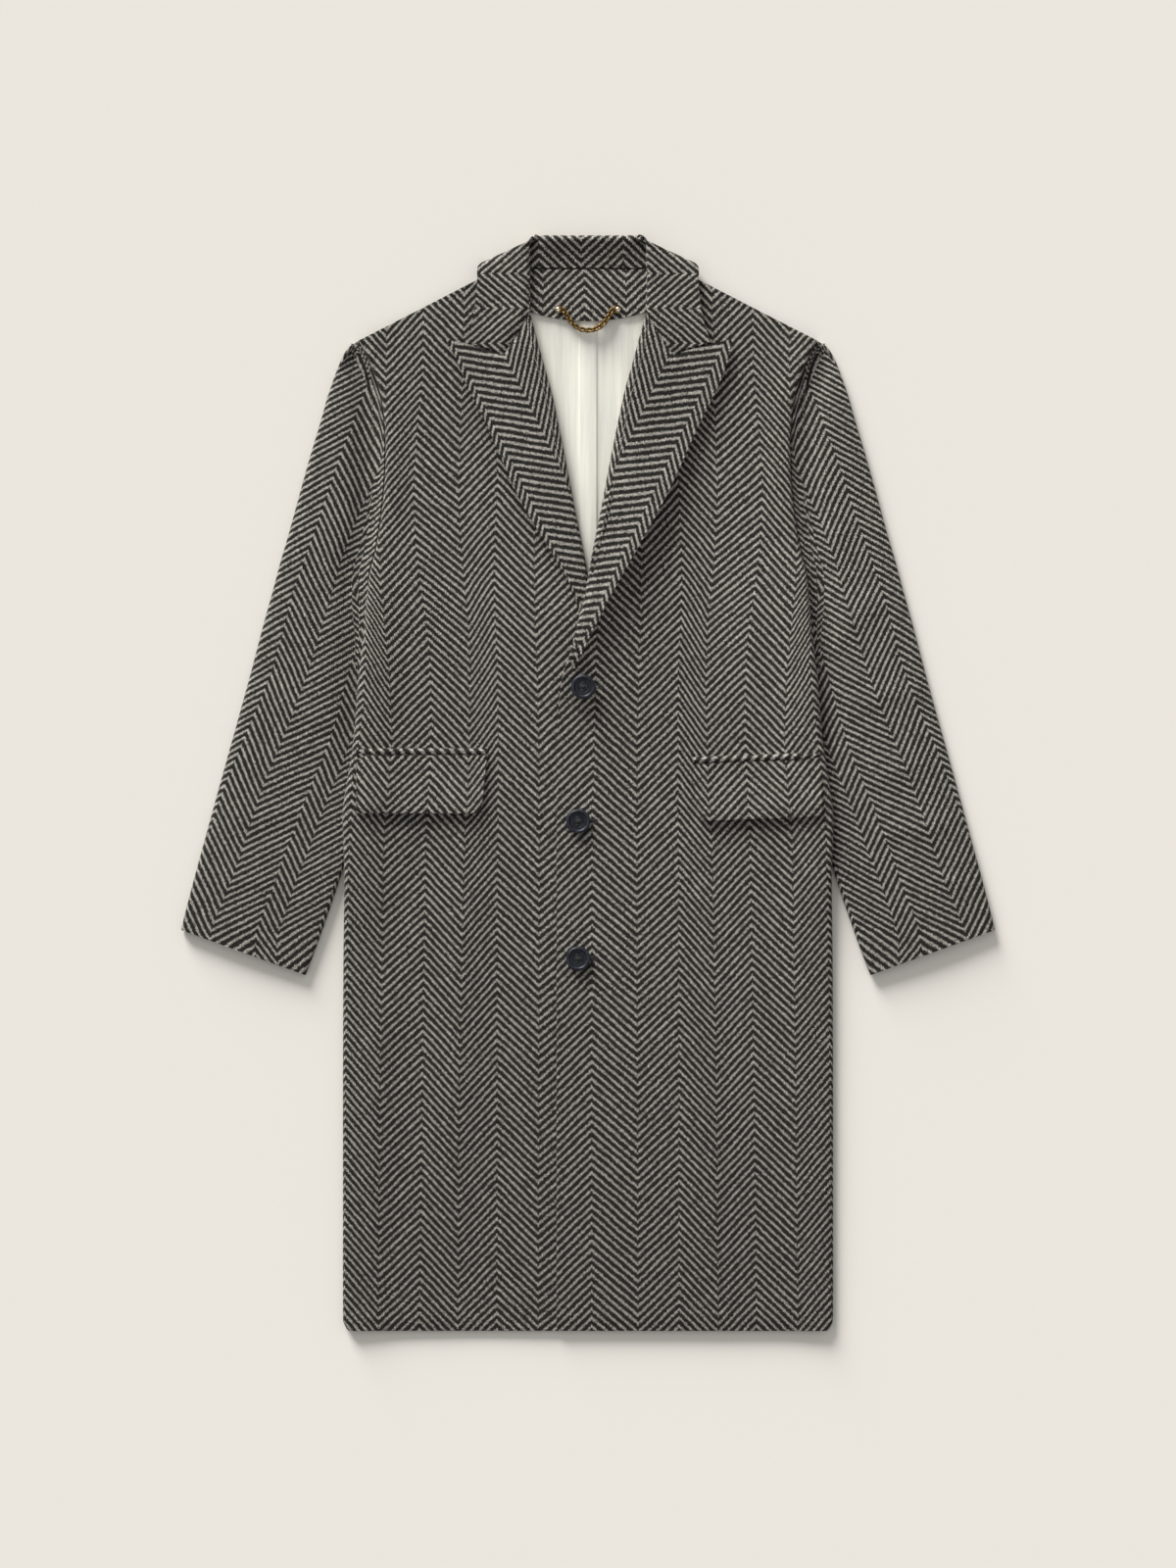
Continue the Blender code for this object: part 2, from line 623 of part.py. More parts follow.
def build():
    """Builds every part, from the lowest layer up."""
    clear_scene()
    scene = bpy.context.scene.collection
    for name in ("overcoat", "cutters"):
        scene.children.link(bpy.data.collections.new(name))
    parts = bpy.data.collections["overcoat"]
    coat = bpy.data.objects.new("coat", None)
    parts.objects.link(coat)

    wool = finish("herringbone wool", (0.155, 0.142, 0.130), 0.95)
    satin = finish("cream lining satin", (0.80, 0.78, 0.69), 0.45)
    horn = finish("dark horn button", (0.018, 0.018, 0.024), 0.3)
    brass = finish("antique brass", (0.20, 0.15, 0.08), 0.4, 1.0)
    bright = finish("rivet brass", (0.52, 0.46, 0.36), 0.3, 1.0)

    sleeves = sleeve(RIGHT, wool, coat) + sleeve(LEFT, wool, coat)
    back = back_panel(wool, coat)
    lining = lining_panel(satin, coat, [back])
    facing = facing_panel(wool, coat, [back, lining])
    inside = [back, lining, facing]
    under = sleeves + inside
    front_right = front_panel(RIGHT, wool, coat, under)
    lapel_right = lapel(RIGHT, wool, coat, inside, [front_right])
    front_left = front_panel(LEFT, wool, coat, under + [front_right, lapel_right])
    under_lapel = [front_right, lapel_right]
    lapel(LEFT, wool, coat, inside + under_lapel, [front_left] + under_lapel)
    collar_panel(wool, coat, [front_right, front_left])
    pocket(FLAP_ROWS[0], wool, coat, front_right)
    pocket(FLAP_ROWS[1], wool, coat, front_left)
    for place in BUTTONS:
        button(place, horn, coat, front_left, bpy.data.collections["cutters"])
    rivet("rivet_right", -RIVET_X, facing, bright, coat)
    level = rivet("rivet_left", RIVET_X, facing, bright, coat)
    pivot = bpy.data.objects.new("chain_pivot", None)
    parts.objects.link(pivot)
    pivot.parent = coat
    pivot.location = Vector((0.0, HANGER_Y, level + CHAIN_END / 2 + 2 * GAP)) * MM
    hanger_chain(brass, pivot)


build()
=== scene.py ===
import json
import logging
import math
from dataclasses import dataclass
from enum import Enum
from typing import Callable, NamedTuple, Sequence

import bmesh
import bpy
from mathutils import Matrix, Vector
from mathutils.bvhtree import BVHTree

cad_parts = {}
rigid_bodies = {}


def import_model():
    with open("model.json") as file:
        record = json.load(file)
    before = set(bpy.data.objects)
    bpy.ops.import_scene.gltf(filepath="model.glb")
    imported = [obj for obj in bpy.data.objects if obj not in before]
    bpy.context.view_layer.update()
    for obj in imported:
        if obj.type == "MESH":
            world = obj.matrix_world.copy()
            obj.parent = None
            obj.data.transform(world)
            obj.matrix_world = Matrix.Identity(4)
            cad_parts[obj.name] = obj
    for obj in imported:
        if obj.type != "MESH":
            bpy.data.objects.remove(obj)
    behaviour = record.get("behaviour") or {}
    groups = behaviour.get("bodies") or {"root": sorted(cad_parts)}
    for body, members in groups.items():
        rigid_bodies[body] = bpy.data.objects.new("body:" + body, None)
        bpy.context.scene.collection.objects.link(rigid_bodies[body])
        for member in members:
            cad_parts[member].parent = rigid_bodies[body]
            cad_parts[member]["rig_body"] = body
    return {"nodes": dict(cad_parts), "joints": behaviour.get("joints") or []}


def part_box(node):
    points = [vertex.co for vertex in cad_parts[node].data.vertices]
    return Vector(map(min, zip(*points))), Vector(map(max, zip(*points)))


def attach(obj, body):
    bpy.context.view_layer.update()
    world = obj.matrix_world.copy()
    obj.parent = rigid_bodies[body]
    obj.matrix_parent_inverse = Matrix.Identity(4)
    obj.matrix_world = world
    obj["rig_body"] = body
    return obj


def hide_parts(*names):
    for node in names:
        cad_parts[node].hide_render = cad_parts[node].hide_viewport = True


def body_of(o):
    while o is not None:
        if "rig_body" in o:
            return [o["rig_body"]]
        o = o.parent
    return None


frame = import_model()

log = logging.getLogger("overcoat")
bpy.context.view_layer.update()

MM = 0.001
CELL = 6.0            # cloth grid spacing, mm
WOOL_WALL = 1.8       # heavy coating wool
LIFT = 0.3            # how far the outer face stands over the frame's solid
RISE = 41.0           # how far a twill line climbs across one rib
REPEAT = 8.7          # twill lines' spacing along the warp
SHARP = 42.0          # degrees, the bend past which an edge is shaded sharp
RIM_BEND = 58.0       # degrees, the bend past which a cloth's edge is rounded

Point = tuple[float, float]
Grid = list[list[Vector]]
Item = bpy.types.Object
Material = bpy.types.Material
Shape = bmesh.types.BMesh
Socket = bpy.types.NodeSocket
Weave = Callable[[int, int, int], Point]


class Side(Enum):
    """The wearer's two sides; the value is the sign of X."""

    RIGHT = -1
    LEFT = 1

    @property
    def word(self) -> str:
        """The side's name as the frame's nodes spell it."""
        return self.name.lower()


class Hold(Enum):
    """How a piece of the garment is held."""

    LAID = "laid"
    FOLDED = "folded"
    HUNG = "hung"


class LapelRow(NamedTuple):
    """One level of a lapel: its roll and its free edge on each side."""

    roll_x: float
    roll_y: float
    edge_y: float
    edge_right: float
    edge_left: float


class CollarRow(NamedTuple):
    """One station of the collar: neck seam, roll and rim."""

    seam_x: float
    seam_y: float
    seam_z: float
    roll_x: float
    roll_y: float
    roll_z: float
    rim_x: float
    rim_y: float
    rim_z: float


class Crease(NamedTuple):
    """A soft ridge (or trough, where height is negative) between two places."""

    x0: float
    y0: float
    x1: float
    y1: float
    width: float
    height: float


# One row a level of a front: its inner x and y, its outer x and y, and how far it turns under.
FRONT_ROWS = (
    (80, 531, 234, 452, 7), (76, 520, 226, 437, 8), (70, 504, 217, 415, 8), (58.5, 478, 210, 390, 8),
    (50, 448, 207, 362, 8), (41, 415, 206.5, 330, 8), (31, 375, 208, 300, 8), (23.5, 335, 212, 265, 9),
    (15, 292, 217, 237, 10), (7.5, 250, 223, 213, 12), (0, 213, 226, 182, 16), (-9, 170, 230, 140, 18),
    (-17, 137, 234, 110, 18), (-27, 105, 235.5, 90, 18), (-31, 60, 238, 56, 18), (-32, 28, 241.5, 28, 18),
    (-32, 0, 246, 0, 18), (-32, -29, 250, -29, 18), (-32, -60, 249.5, -60, 18), (-32, -95, 248.5, -95, 18),
    (-32, -180, 249.5, -180, 18), (-32, -290, 250, -290, 18), (-32, -410, 250, -410, 18),
    (-32, -530, 250, -530, 18), (-32, -550, 249, -550, 18), (-31, -557.8, 244, -557.8, 15))

# One row a level of a sleeve: its body side's x and y, and its outer fold's.
SLEEVE_ROWS = (
    (234, 452, 243, 447.5), (226, 437, 250, 438), (217, 415, 258, 419), (210, 390, 266, 396),
    (207, 362, 274, 368), (206.5, 330, 283, 338), (208, 300, 291, 310), (212, 265, 300, 277),
    (217, 237, 307.5, 250), (223, 213, 314, 228), (223, 185, 321.5, 200), (221, 140, 333, 158),
    (221, 95, 344, 116), (224, 50, 355.5, 74), (230, 5, 367.5, 31), (239, -42, 380, -14),
    (250, -87, 392, -58), (264, -130, 403.5, -100), (279, -172, 412.5, -135), (288, -195, 415.5, -149))

LAPEL_ROWS = [LapelRow(*row) for row in (
    (58.5, 478.5, 453, 145, 147), (53.5, 460, 436, 136, 144), (46, 432, 405, 122.5, 132.5),
    (37, 400, 370, 105, 115), (29.5, 365, 332, 88.5, 98), (21.5, 325, 290, 70, 78),
    (12, 275, 240, 39.5, 50.5), (4, 235, 205, 19, 30.5), (-3, 195, 172, 8, 13), (-11, 162, 148, -1, 1),
    (-20, 128, 117, -15, -14))]

COLLAR_ROWS = [CollarRow(*row) for row in (
    (62, 484, 8.9, 58.5, 482, 15, 125, 451, 12), (66, 495, 8.9, 59, 493, 15.5, 119, 468, 12),
    (70, 507, 8.9, 59, 507, 16, 115.5, 486, 12.5), (73, 516, 8.9, 59, 522, 16.5, 113, 503, 13),
    (75, 524, 8.9, 59, 538, 17, 113, 517, 12.5), (72, 529.5, 8.9, 58.5, 550, 17.2, 112, 528, 9.5),
    (64, 529, 8.6, 54, 557, 17.2, 103, 532.5, 4), (52, 526.5, 8.2, 45, 559, 17, 82, 521, 0),
    (30, 526.4, 8.1, 26, 559, 17, 46, 507, 0), (0, 526.4, 8.1, 0, 559, 17, 0, 503, 0))]

# The gorge seam: share of the lapel's width, then the place.
GORGE = ((0.0, 58.5, 479.0), (0.15, 72.0, 458.0), (0.34, 88.0, 436.0), (0.46, 98.0, 442.0),
         (0.62, 113.0, 446.0), (0.77, 125.0, 450.0), (1.0, 146.0, 454.0))
COLLAR_SHARE = 0.77
GORGE_REACH = 2.6     # rows over which the gorge's bend dies out

# Rib edges across a front: level, then the distances of edges 1 to 6 and edge 0 from the centre line.
FRONT_RIBS = (
    (488, 205, 168, 126, 88, 50, 10, 243), (420, 205.5, 168.5, 128, 90, 52, 12, 243),
    (366, 207, 174, 130, 93, 54, 14, 243), (305, 210, 178, 132, 92, 54, 14, 246),
    (250, 213, 176, 130, 95, 55, 13, 248), (204, 212, 171, 126, 96, 54.5, 12, 236),
    (165, 208, 165, 121.5, 95, 54, 10, 228), (125, 204, 161, 120, 93, 52, 8, 226),
    (80, 201.5, 160, 120, 92, 51, 7, 229), (50, 200, 160, 121, 92, 50, 6, 233),
    (0, 203, 162, 122, 92, 50, 5, 240), (-50, 208, 165, 125, 92, 50, 4, 242),
    (-100, 209, 166, 127, 93, 50, 4, 244), (-300, 212, 169, 131, 93, 50.5, 3.5, 247),
    (-558, 214, 172, 133, 93, 51, 3.5, 249))
# Rib edges across a sleeve: level, then the distances of edges 0 to 2 from the outer fold.
SLEEVE_RIBS = (
    (424, 29, 70, 111), (381, 24, 68, 109), (335, 20, 67, 108), (274, 17.5, 57, 98), (234, 15, 52.5, 94),
    (200, 13, 53, 94), (121, 13.5, 50.5, 93), (57, 6, 45, 93), (23, 3, 42, 92), (-42, -3, 37, 84.5),
    (-90, -8, 34, 79), (-159, -18, 23, 71))

CREASES = (
    Crease(-196, 300, -150, 60, 16, 1.5), Crease(-226, 96, -168, -120, 14, 1.3),
    Crease(-128, -50, -140, -420, 25, 4.0), Crease(-206, -190, -224, -470, 17, 2.6),
    Crease(-62, -180, -54, -500, 19, 1.6), Crease(-176, 420, -152, 250, 15, 1.0),
    Crease(188, 318, 158, 90, 15, 1.7), Crease(230, 120, 180, -70, 13, 1.2),
    Crease(94, -170, 128, -500, 24, 2.8), Crease(208, -150, 220, -430, 18, 2.4),
    Crease(36, -140, 52, -420, 16, 1.3), Crease(182, 410, 160, 262, 16, 0.9),
    Crease(-172, -120, -180, -250, 12, 1.1), Crease(168, -130, 176, -280, 12, 1.0),
    Crease(-262, 262, -228, 206, 9, 1.5), Crease(-296, 176, -244, 146, 9, 1.7),
    Crease(-330, 88, -262, 62, 10, 1.9), Crease(-352, 40, -300, -8, 8, 1.4),
    Crease(-366, -34, -286, -30, 10, 1.6), Crease(-392, -96, -318, -100, 9, 1.3),
    Crease(260, 268, 232, 216, 9, 1.6), Crease(302, 190, 240, 140, 10, 1.8),
    Crease(336, 96, 270, 84, 9, 1.5), Crease(346, 22, 290, 10, 9, 1.7),
    Crease(372, -40, 296, -52, 11, 1.8), Crease(396, -104, 330, -92, 8, 1.2))
# The narrow darts under the chest, pressed flat.
DARTS = (Crease(-220, 148, -206, 42, 2.6, -0.7), Crease(218, 146, 211, 44, 2.6, -0.7))

# ---------------------------------------------------------------- numbers and curves

def mix(start: float, end: float, share: float) -> float:
    """A value part of the way from start to end."""
    return start + (end - start) * share


def smooth_step(low: float, high: float, value: float) -> float:
    """A soft step from 0 at low to 1 at high."""
    share = min(1.0, max(0.0, (value - low) / (high - low)))
    return share * share * (3.0 - 2.0 * share)


def spline_at(rows: Sequence[Sequence[float]], place: float) -> list[float]:
    """A smooth curve through table rows.

    Args:
        rows: the table, one row of numbers a station.
        place: the station, as a row number with a fraction.

    Returns:
        The row's numbers at that station.
    """
    last = len(rows) - 1
    index = min(last - 1, max(0, int(place)))
    t = place - index
    near = (rows[max(index - 1, 0)], rows[index], rows[index + 1], rows[min(index + 2, last)])
    return [0.5 * (2 * b + (c - a) * t + (2 * a - 5 * b + 4 * c - d) * t * t + (3 * b - a - 3 * c + d) * t * t * t)
            for a, b, c, d in zip(*near)]


def stations(rows: Sequence[Sequence[float]], keys: Sequence[int], step: float) -> list[float]:
    """Station numbers spaced evenly enough along a table.

    Args:
        rows: the table.
        keys: the columns that hold a level, whose longest run sets the spacing.
        step: the longest spacing.

    Returns:
        The stations, from 0 to the last row.
    """
    places = []
    for index, (row, after) in enumerate(zip(rows, rows[1:])):
        count = max(1, math.ceil(max(abs(after[key] - row[key]) for key in keys) / step))
        places += [index + part / count for part in range(count)]
    return places + [float(len(rows) - 1)]


def lookup(table: Sequence[Sequence[float]], level: float) -> list[float]:
    """A table whose first column falls, read at a level, straight between its rows."""
    if level >= table[0][0]:
        return list(table[0][1:])
    for above, below in zip(table, table[1:]):
        if above[0] >= level >= below[0]:
            share = (above[0] - level) / (above[0] - below[0])
            return [mix(a, b, share) for a, b in zip(above[1:], below[1:])]
    return list(table[-1][1:])


def rib_number(edges: Sequence[Point], place: float) -> float:
    """The rib coordinate at a place, from (place, number) pairs in rising order of place."""
    for (a, first), (b, second) in zip(edges, edges[1:]):
        if place <= b or (b, second) == edges[-1]:
            return mix(first, second, (place - a) / (b - a))
    return edges[-1][1]


def toward(start: Point, end: Point) -> tuple[float, float, float]:
    """The unit direction from one place to another, and how far it is."""
    length = math.hypot(end[0] - start[0], end[1] - start[1])
    return (end[0] - start[0]) / length, (end[1] - start[1]) / length, length


def gorge_offset(across: float, base: Point) -> Point:
    """How far the gorge seam lies from a straight lapel top, at a share of its width."""
    for (a, ax, ay), (b, bx, by) in zip(GORGE, GORGE[1:]):
        if a <= across <= b:
            share = (across - a) / (b - a)
            return mix(ax, bx, share) - base[0], mix(ay, by, share) - base[1]
    return 0.0, 0.0


def drape_lift(x: float, y: float) -> float:
    """How far the garment's layers ride up together at a place, in mm."""
    total = 0.0
    for crease in CREASES + DARTS:
        dx, dy, length = toward((crease.x0, crease.y0), (crease.x1, crease.y1))
        along = ((x - crease.x0) * dx + (y - crease.y0) * dy) / length
        if -0.25 < along < 1.25:
            aside = (x - crease.x0) * dy - (y - crease.y0) * dx
            fade = smooth_step(-0.25, 0.3, along) * smooth_step(1.25, 0.7, along)
            total += crease.height * fade * math.exp(-(aside / crease.width) ** 2)
    return total


class Probe:
    """Reads the heights of one of the frame's solids."""

    def __init__(self, node: str) -> None:
        """Args: node: the name of the frame's node."""
        mesh = frame["nodes"][node].data
        self.tree = BVHTree.FromPolygons([vert.co.copy() for vert in mesh.vertices],
                                         [tuple(face.vertices) for face in mesh.polygons])

    def height(self, x: float, y: float, above: bool = True) -> float:
        """The solid's top (or bottom) at a place, or that of its nearest point, in mm."""
        start = Vector((x * MM, y * MM, 0.2 if above else -0.2))
        hit = self.tree.ray_cast(start, Vector((0.0, 0.0, -1.0 if above else 1.0)))[0]
        if hit is None:
            hit = self.tree.find_nearest(Vector((x * MM, y * MM, 0.012 if above else 0.0)))[0]
        return hit.z / MM


def relax(heights: list[list[float]], passes: int) -> None:
    """Smooths a field of heights in place, as cloth bridges steps under it.

    Args:
        heights: rows of heights.
        passes: how many times each one moves to its neighbours' mean.
    """
    last, end = len(heights) - 1, len(heights[0]) - 1
    for _ in range(passes):
        before = [list(line) for line in heights]
        for row, line in enumerate(before):
            up, down = before[max(row - 1, 0)], before[min(row + 1, last)]
            for column in range(end + 1):
                near = up[column] + down[column] + line[max(column - 1, 0)] + line[min(column + 1, end)]
                heights[row][column] = 0.3 * line[column] + 0.7 * near / 4


# ---------------------------------------------------------------- finishes

def linear(code: str) -> tuple[float, float, float, float]:
    """A colour for a shader from an sRGB hex code."""
    values = [int(code[place:place + 2], 16) / 255 for place in (1, 3, 5)]
    return (*[v / 12.92 if v <= 0.04045 else ((v + 0.055) / 1.055) ** 2.4 for v in values], 1.0)


class Graph:
    """A material and its node graph, built up through output sockets."""

    def __init__(self, name: str, shader: dict) -> None:
        """Makes the material.

        Args:
            name: its name.
            shader: its shader's constants by socket name.
        """
        self.material = bpy.data.materials.new(name)
        self.material.use_nodes = True
        self.tree = self.material.node_tree
        self.shader = self.tree.nodes["Principled BSDF"]
        for socket, value in shader.items():
            self.shader.inputs[socket].default_value = value
        self.place = self.add("TexCoord", {}, "Object")

    def add(self, kind: str, inputs: dict, output: int | str = 0, **settings: str) -> Socket:
        """Adds a node.

        Args:
            kind: its type, without the leading "ShaderNode".
            inputs: values, or sockets to join, by input number or name.
            output: which of its outputs to give.
            settings: its attributes.

        Returns:
            The output socket.
        """
        node = self.tree.nodes.new("ShaderNode" + kind)
        for name, value in settings.items():
            setattr(node, name, value)
        for name, value in inputs.items():
            if isinstance(value, Socket):
                self.tree.links.new(value, node.inputs[name])
            else:
                node.inputs[name].default_value = value
        return node.outputs[output]

    def math(self, operation: str, *values: float | Socket) -> Socket:
        """Adds a sum."""
        return self.add("Math", dict(enumerate(values)), operation=operation)

    def noise(self, place: Socket, scale: float, detail: float, roughness: float = 0.5, warp: float = 0.0) -> Socket:
        """Adds noise."""
        return self.add("TexNoise", {"Vector": place, "Scale": scale, "Detail": detail, "Roughness": roughness,
                                     "Distortion": warp})

    def multiplied(self, base: Socket, tone: Socket) -> Socket:
        """Adds one colour times another."""
        return self.add("Mix", {0: 1.0, 6: base, 7: tone}, 2, data_type="RGBA", blend_type="MULTIPLY")

    def ramp(self, factor: Socket, *stops: tuple[float, str]) -> Socket:
        """Adds a colour ramp with its stops set from hex colours."""
        colour = self.add("ValToRGB", {0: factor})
        elements = colour.node.color_ramp.elements
        while len(elements) < len(stops):
            elements.new(0.5)
        for element, (place, code) in zip(elements, stops):
            element.position = place
            element.color = linear(code)
        return colour

    def finish(self, height: Socket, strength: float, distance: float, **links: Socket) -> Material:
        """Joins a bump and the shader's other inputs.

        Args:
            height: what the bump follows.
            strength: the bump's strength.
            distance: its depth, m.
            links: sockets by shader input, spelt with underscores.

        Returns:
            The material.
        """
        links["Normal"] = self.add("Bump", {"Strength": strength, "Distance": distance, "Height": height})
        for name, socket in links.items():
            self.tree.links.new(socket, self.shader.inputs[name.replace("_", " ")])
        return self.material


@dataclass(frozen=True)
class HerringboneWool:
    """Heavy herringbone coating: woollen yarns in a broken twill, brushed to a short nap.

    Wool scatters light with almost no gloss; the nap gives a faint pale sheen at grazing angles.
    """

    name: str = "herringbone wool"
    bright: str = "#F0EBE2"
    pale: str = "#C8C2B9"
    grey: str = "#322F2B"
    dark: str = "#0E0D0B"
    fuzz: float = 0.9        # mm, wander of the twill lines' edges
    yarn: float = 1.9        # mm between warp yarns, drawn half as coarse again as they are so that they show
    yarns: float = 22.0      # warp yarns across a rib
    hem_shade_tone: float = 0.74      # painted shade: the hem's tone against the chest's
    step: float = 0.7        # how far the twill lines climb in steps, a yarn at a time

    def make(self) -> Material:
        """Returns the material, which follows the UV map "weave": rib number and mm along the warp."""
        graph = Graph(self.name, {"Roughness": 0.93, "Specular IOR Level": 0.25, "Sheen Weight": 0.14,
                                  "Sheen Roughness": 0.5, "Sheen Tint": linear("#D8D4CC")})
        axes = graph.add("SeparateXYZ", {0: graph.add("UVMap", {}, uv_map="weave")}).node.outputs
        wander = graph.noise(graph.place, 1 / (self.fuzz * 2.4 * MM), 3.0)
        slow = graph.noise(graph.place, 28.0, 2.0)
        slant = graph.math("PINGPONG", graph.math("ADD", axes[0], 1.0), 1.0)
        # Each warp yarn floats straight up and over, so a twill line is a stair of short floats.
        wobble = graph.math("MULTIPLY_ADD", wander, 0.05, slant)
        within = graph.math("FRACT", graph.math("MULTIPLY", wobble, self.yarns))
        stair = graph.math("MULTIPLY_ADD", within, -self.step / self.yarns, slant)
        climb = graph.math("MULTIPLY_ADD", stair, -RISE, axes[1])
        # Painted shade: each warp yarn is darkened towards its edges, the shade in the gaps between yarns.
        painted_yarn_gap_shade = graph.add("MapRange", {0: graph.math("PINGPONG", within, 0.5), "From Min": 0.0, "From Max": 0.28,
                                        "To Min": 0.55, "To Max": 1.0})
        jitter = graph.math("MULTIPLY_ADD", wander, self.fuzz * 5.0, climb)
        drift = graph.math("MULTIPLY_ADD", slow, 3.0, jitter)
        lines = graph.ramp(graph.math("FRACT", graph.math("DIVIDE", drift, REPEAT)),
                           (0.0, self.dark), (0.07, self.pale), (0.24, self.bright), (0.42, self.pale),
                           (0.50, self.dark), (0.56, self.dark), (0.64, self.grey), (0.84, self.grey),
                           (0.95, self.dark))
        # Yarn flecks: paler and darker hairs a yarn's width across.
        shade = graph.ramp(graph.noise(graph.place, 1 / (0.8 * self.yarn * MM), 4.0, 0.7),
                           (0.36, "#565656"), (0.5, "#CFCFCF"), (0.64, "#FFFFFF"))
        colour = graph.multiplied(graph.multiplied(lines, shade), painted_yarn_gap_shade)
        # Painted shade: the colour darkens from the chest down towards the hem, so the skirt reads a little darker
        # than the chest.
        upright = graph.add("SeparateXYZ", {0: graph.place}, 1)
        painted_hem_shade = graph.add("MapRange", {0: upright, "From Min": -0.5, "From Max": 0.2, "To Min": self.hem_shade_tone,
                                      "To Max": 1.0})
        hairs = graph.noise(graph.place, 1 / (0.4 * self.yarn * MM), 3.0)
        return graph.finish(graph.math("MULTIPLY_ADD", hairs, 0.6, colour), 0.8, 0.0009,
                            Base_Color=graph.multiplied(colour, painted_hem_shade))


@dataclass(frozen=True)
class LiningSatin:
    """Viscose satin lining: smooth floats along the warp, so a soft gloss and fine upright streaks."""

    name: str = "cream viscose satin"
    warm: str = "#F6F3E8"
    cool: str = "#E4E3DC"

    def make(self) -> Material:
        """Returns the material."""
        graph = Graph(self.name, {"Roughness": 0.5, "Specular IOR Level": 0.3, "Sheen Weight": 0.08,
                                  "Sheen Roughness": 0.4})
        stretch = graph.add("Mapping", {0: graph.place, "Scale": (1.0, 0.06, 1.0)})
        streaks = graph.noise(stretch, 190.0, 3.0)
        height = graph.math("MULTIPLY_ADD", graph.noise(stretch, 1600.0, 2.0), 0.35, streaks)
        return graph.finish(height, 0.35, 0.0004, Base_Color=graph.ramp(streaks, (0.3, self.cool), (0.7, self.warm)))


@dataclass(frozen=True)
class PolishedHorn:
    """Buffalo horn, turned and buffed: nearly black with blue-grey streaks and a soft gloss."""

    name: str = "dark buffalo horn"
    dark: str = "#12141A"
    streak: str = "#303643"

    def make(self) -> Material:
        """Returns the material."""
        graph = Graph(self.name, {"Roughness": 0.4, "IOR": 1.5, "Specular IOR Level": 0.35})
        stretch = graph.add("Mapping", {0: graph.place, "Scale": (1.0, 0.25, 1.0), "Rotation": (0.0, 0.0, 0.5)})
        grain = graph.noise(stretch, 420.0, 5.0, warp=1.2)
        return graph.finish(graph.noise(graph.place, 2600.0, 2.0), 0.12, 0.0002,
                            Base_Color=graph.ramp(grain, (0.42, self.dark), (0.72, self.streak)))


@dataclass(frozen=True)
class AgedBrass:
    """Brass: oxidised brown in the hollows on the chain, or rubbed bright on a rivet's dome."""

    name: str
    bright: str
    tarnish: str
    roughness: float
    cover: float     # share under tarnish

    def make(self) -> Material:
        """Returns the material."""
        graph = Graph(self.name, {"Metallic": 1.0})
        patches = graph.noise(graph.place, 900.0, 5.0, 0.6)
        colour = graph.ramp(patches, (self.cover - 0.12, self.tarnish), (self.cover + 0.2, self.bright))
        rough = graph.add("MapRange", {0: patches, "To Min": self.roughness + 0.2, "To Max": self.roughness})
        return graph.finish(patches, 0.2, 0.0002, Base_Color=colour, Roughness=rough)


@dataclass(frozen=True)
class TwistThread:
    """Silk buttonhole twist: a tight, faintly glossy thread, its ply shown by diagonal lines."""

    name: str = "black buttonhole twist"
    dark: str = "#060607"
    light: str = "#141416"

    def make(self) -> Material:
        """Returns the material."""
        graph = Graph(self.name, {"Roughness": 0.6, "Sheen Weight": 0.2})
        ply = graph.add("TexWave", {"Vector": graph.place, "Scale": 700.0, "Distortion": 2.0}, 1,
                        bands_direction="DIAGONAL")
        return graph.finish(ply, 0.4, 0.0002, Base_Color=graph.ramp(ply, (0.2, self.dark), (0.8, self.light)))


@dataclass(frozen=True)
class MattPaper:
    """Matt studio paper under the garment: pale, warm and without gloss."""

    name: str = "matt studio paper"
    tone: str = "#ECE8E2"

    def make(self) -> Material:
        """Returns the material."""
        graph = Graph(self.name, {"Roughness": 0.95, "Specular IOR Level": 0.1, "Base Color": linear(self.tone)})
        return graph.finish(graph.noise(graph.place, 900.0, 3.0), 0.05, 0.0002)


# ---------------------------------------------------------------- pieces

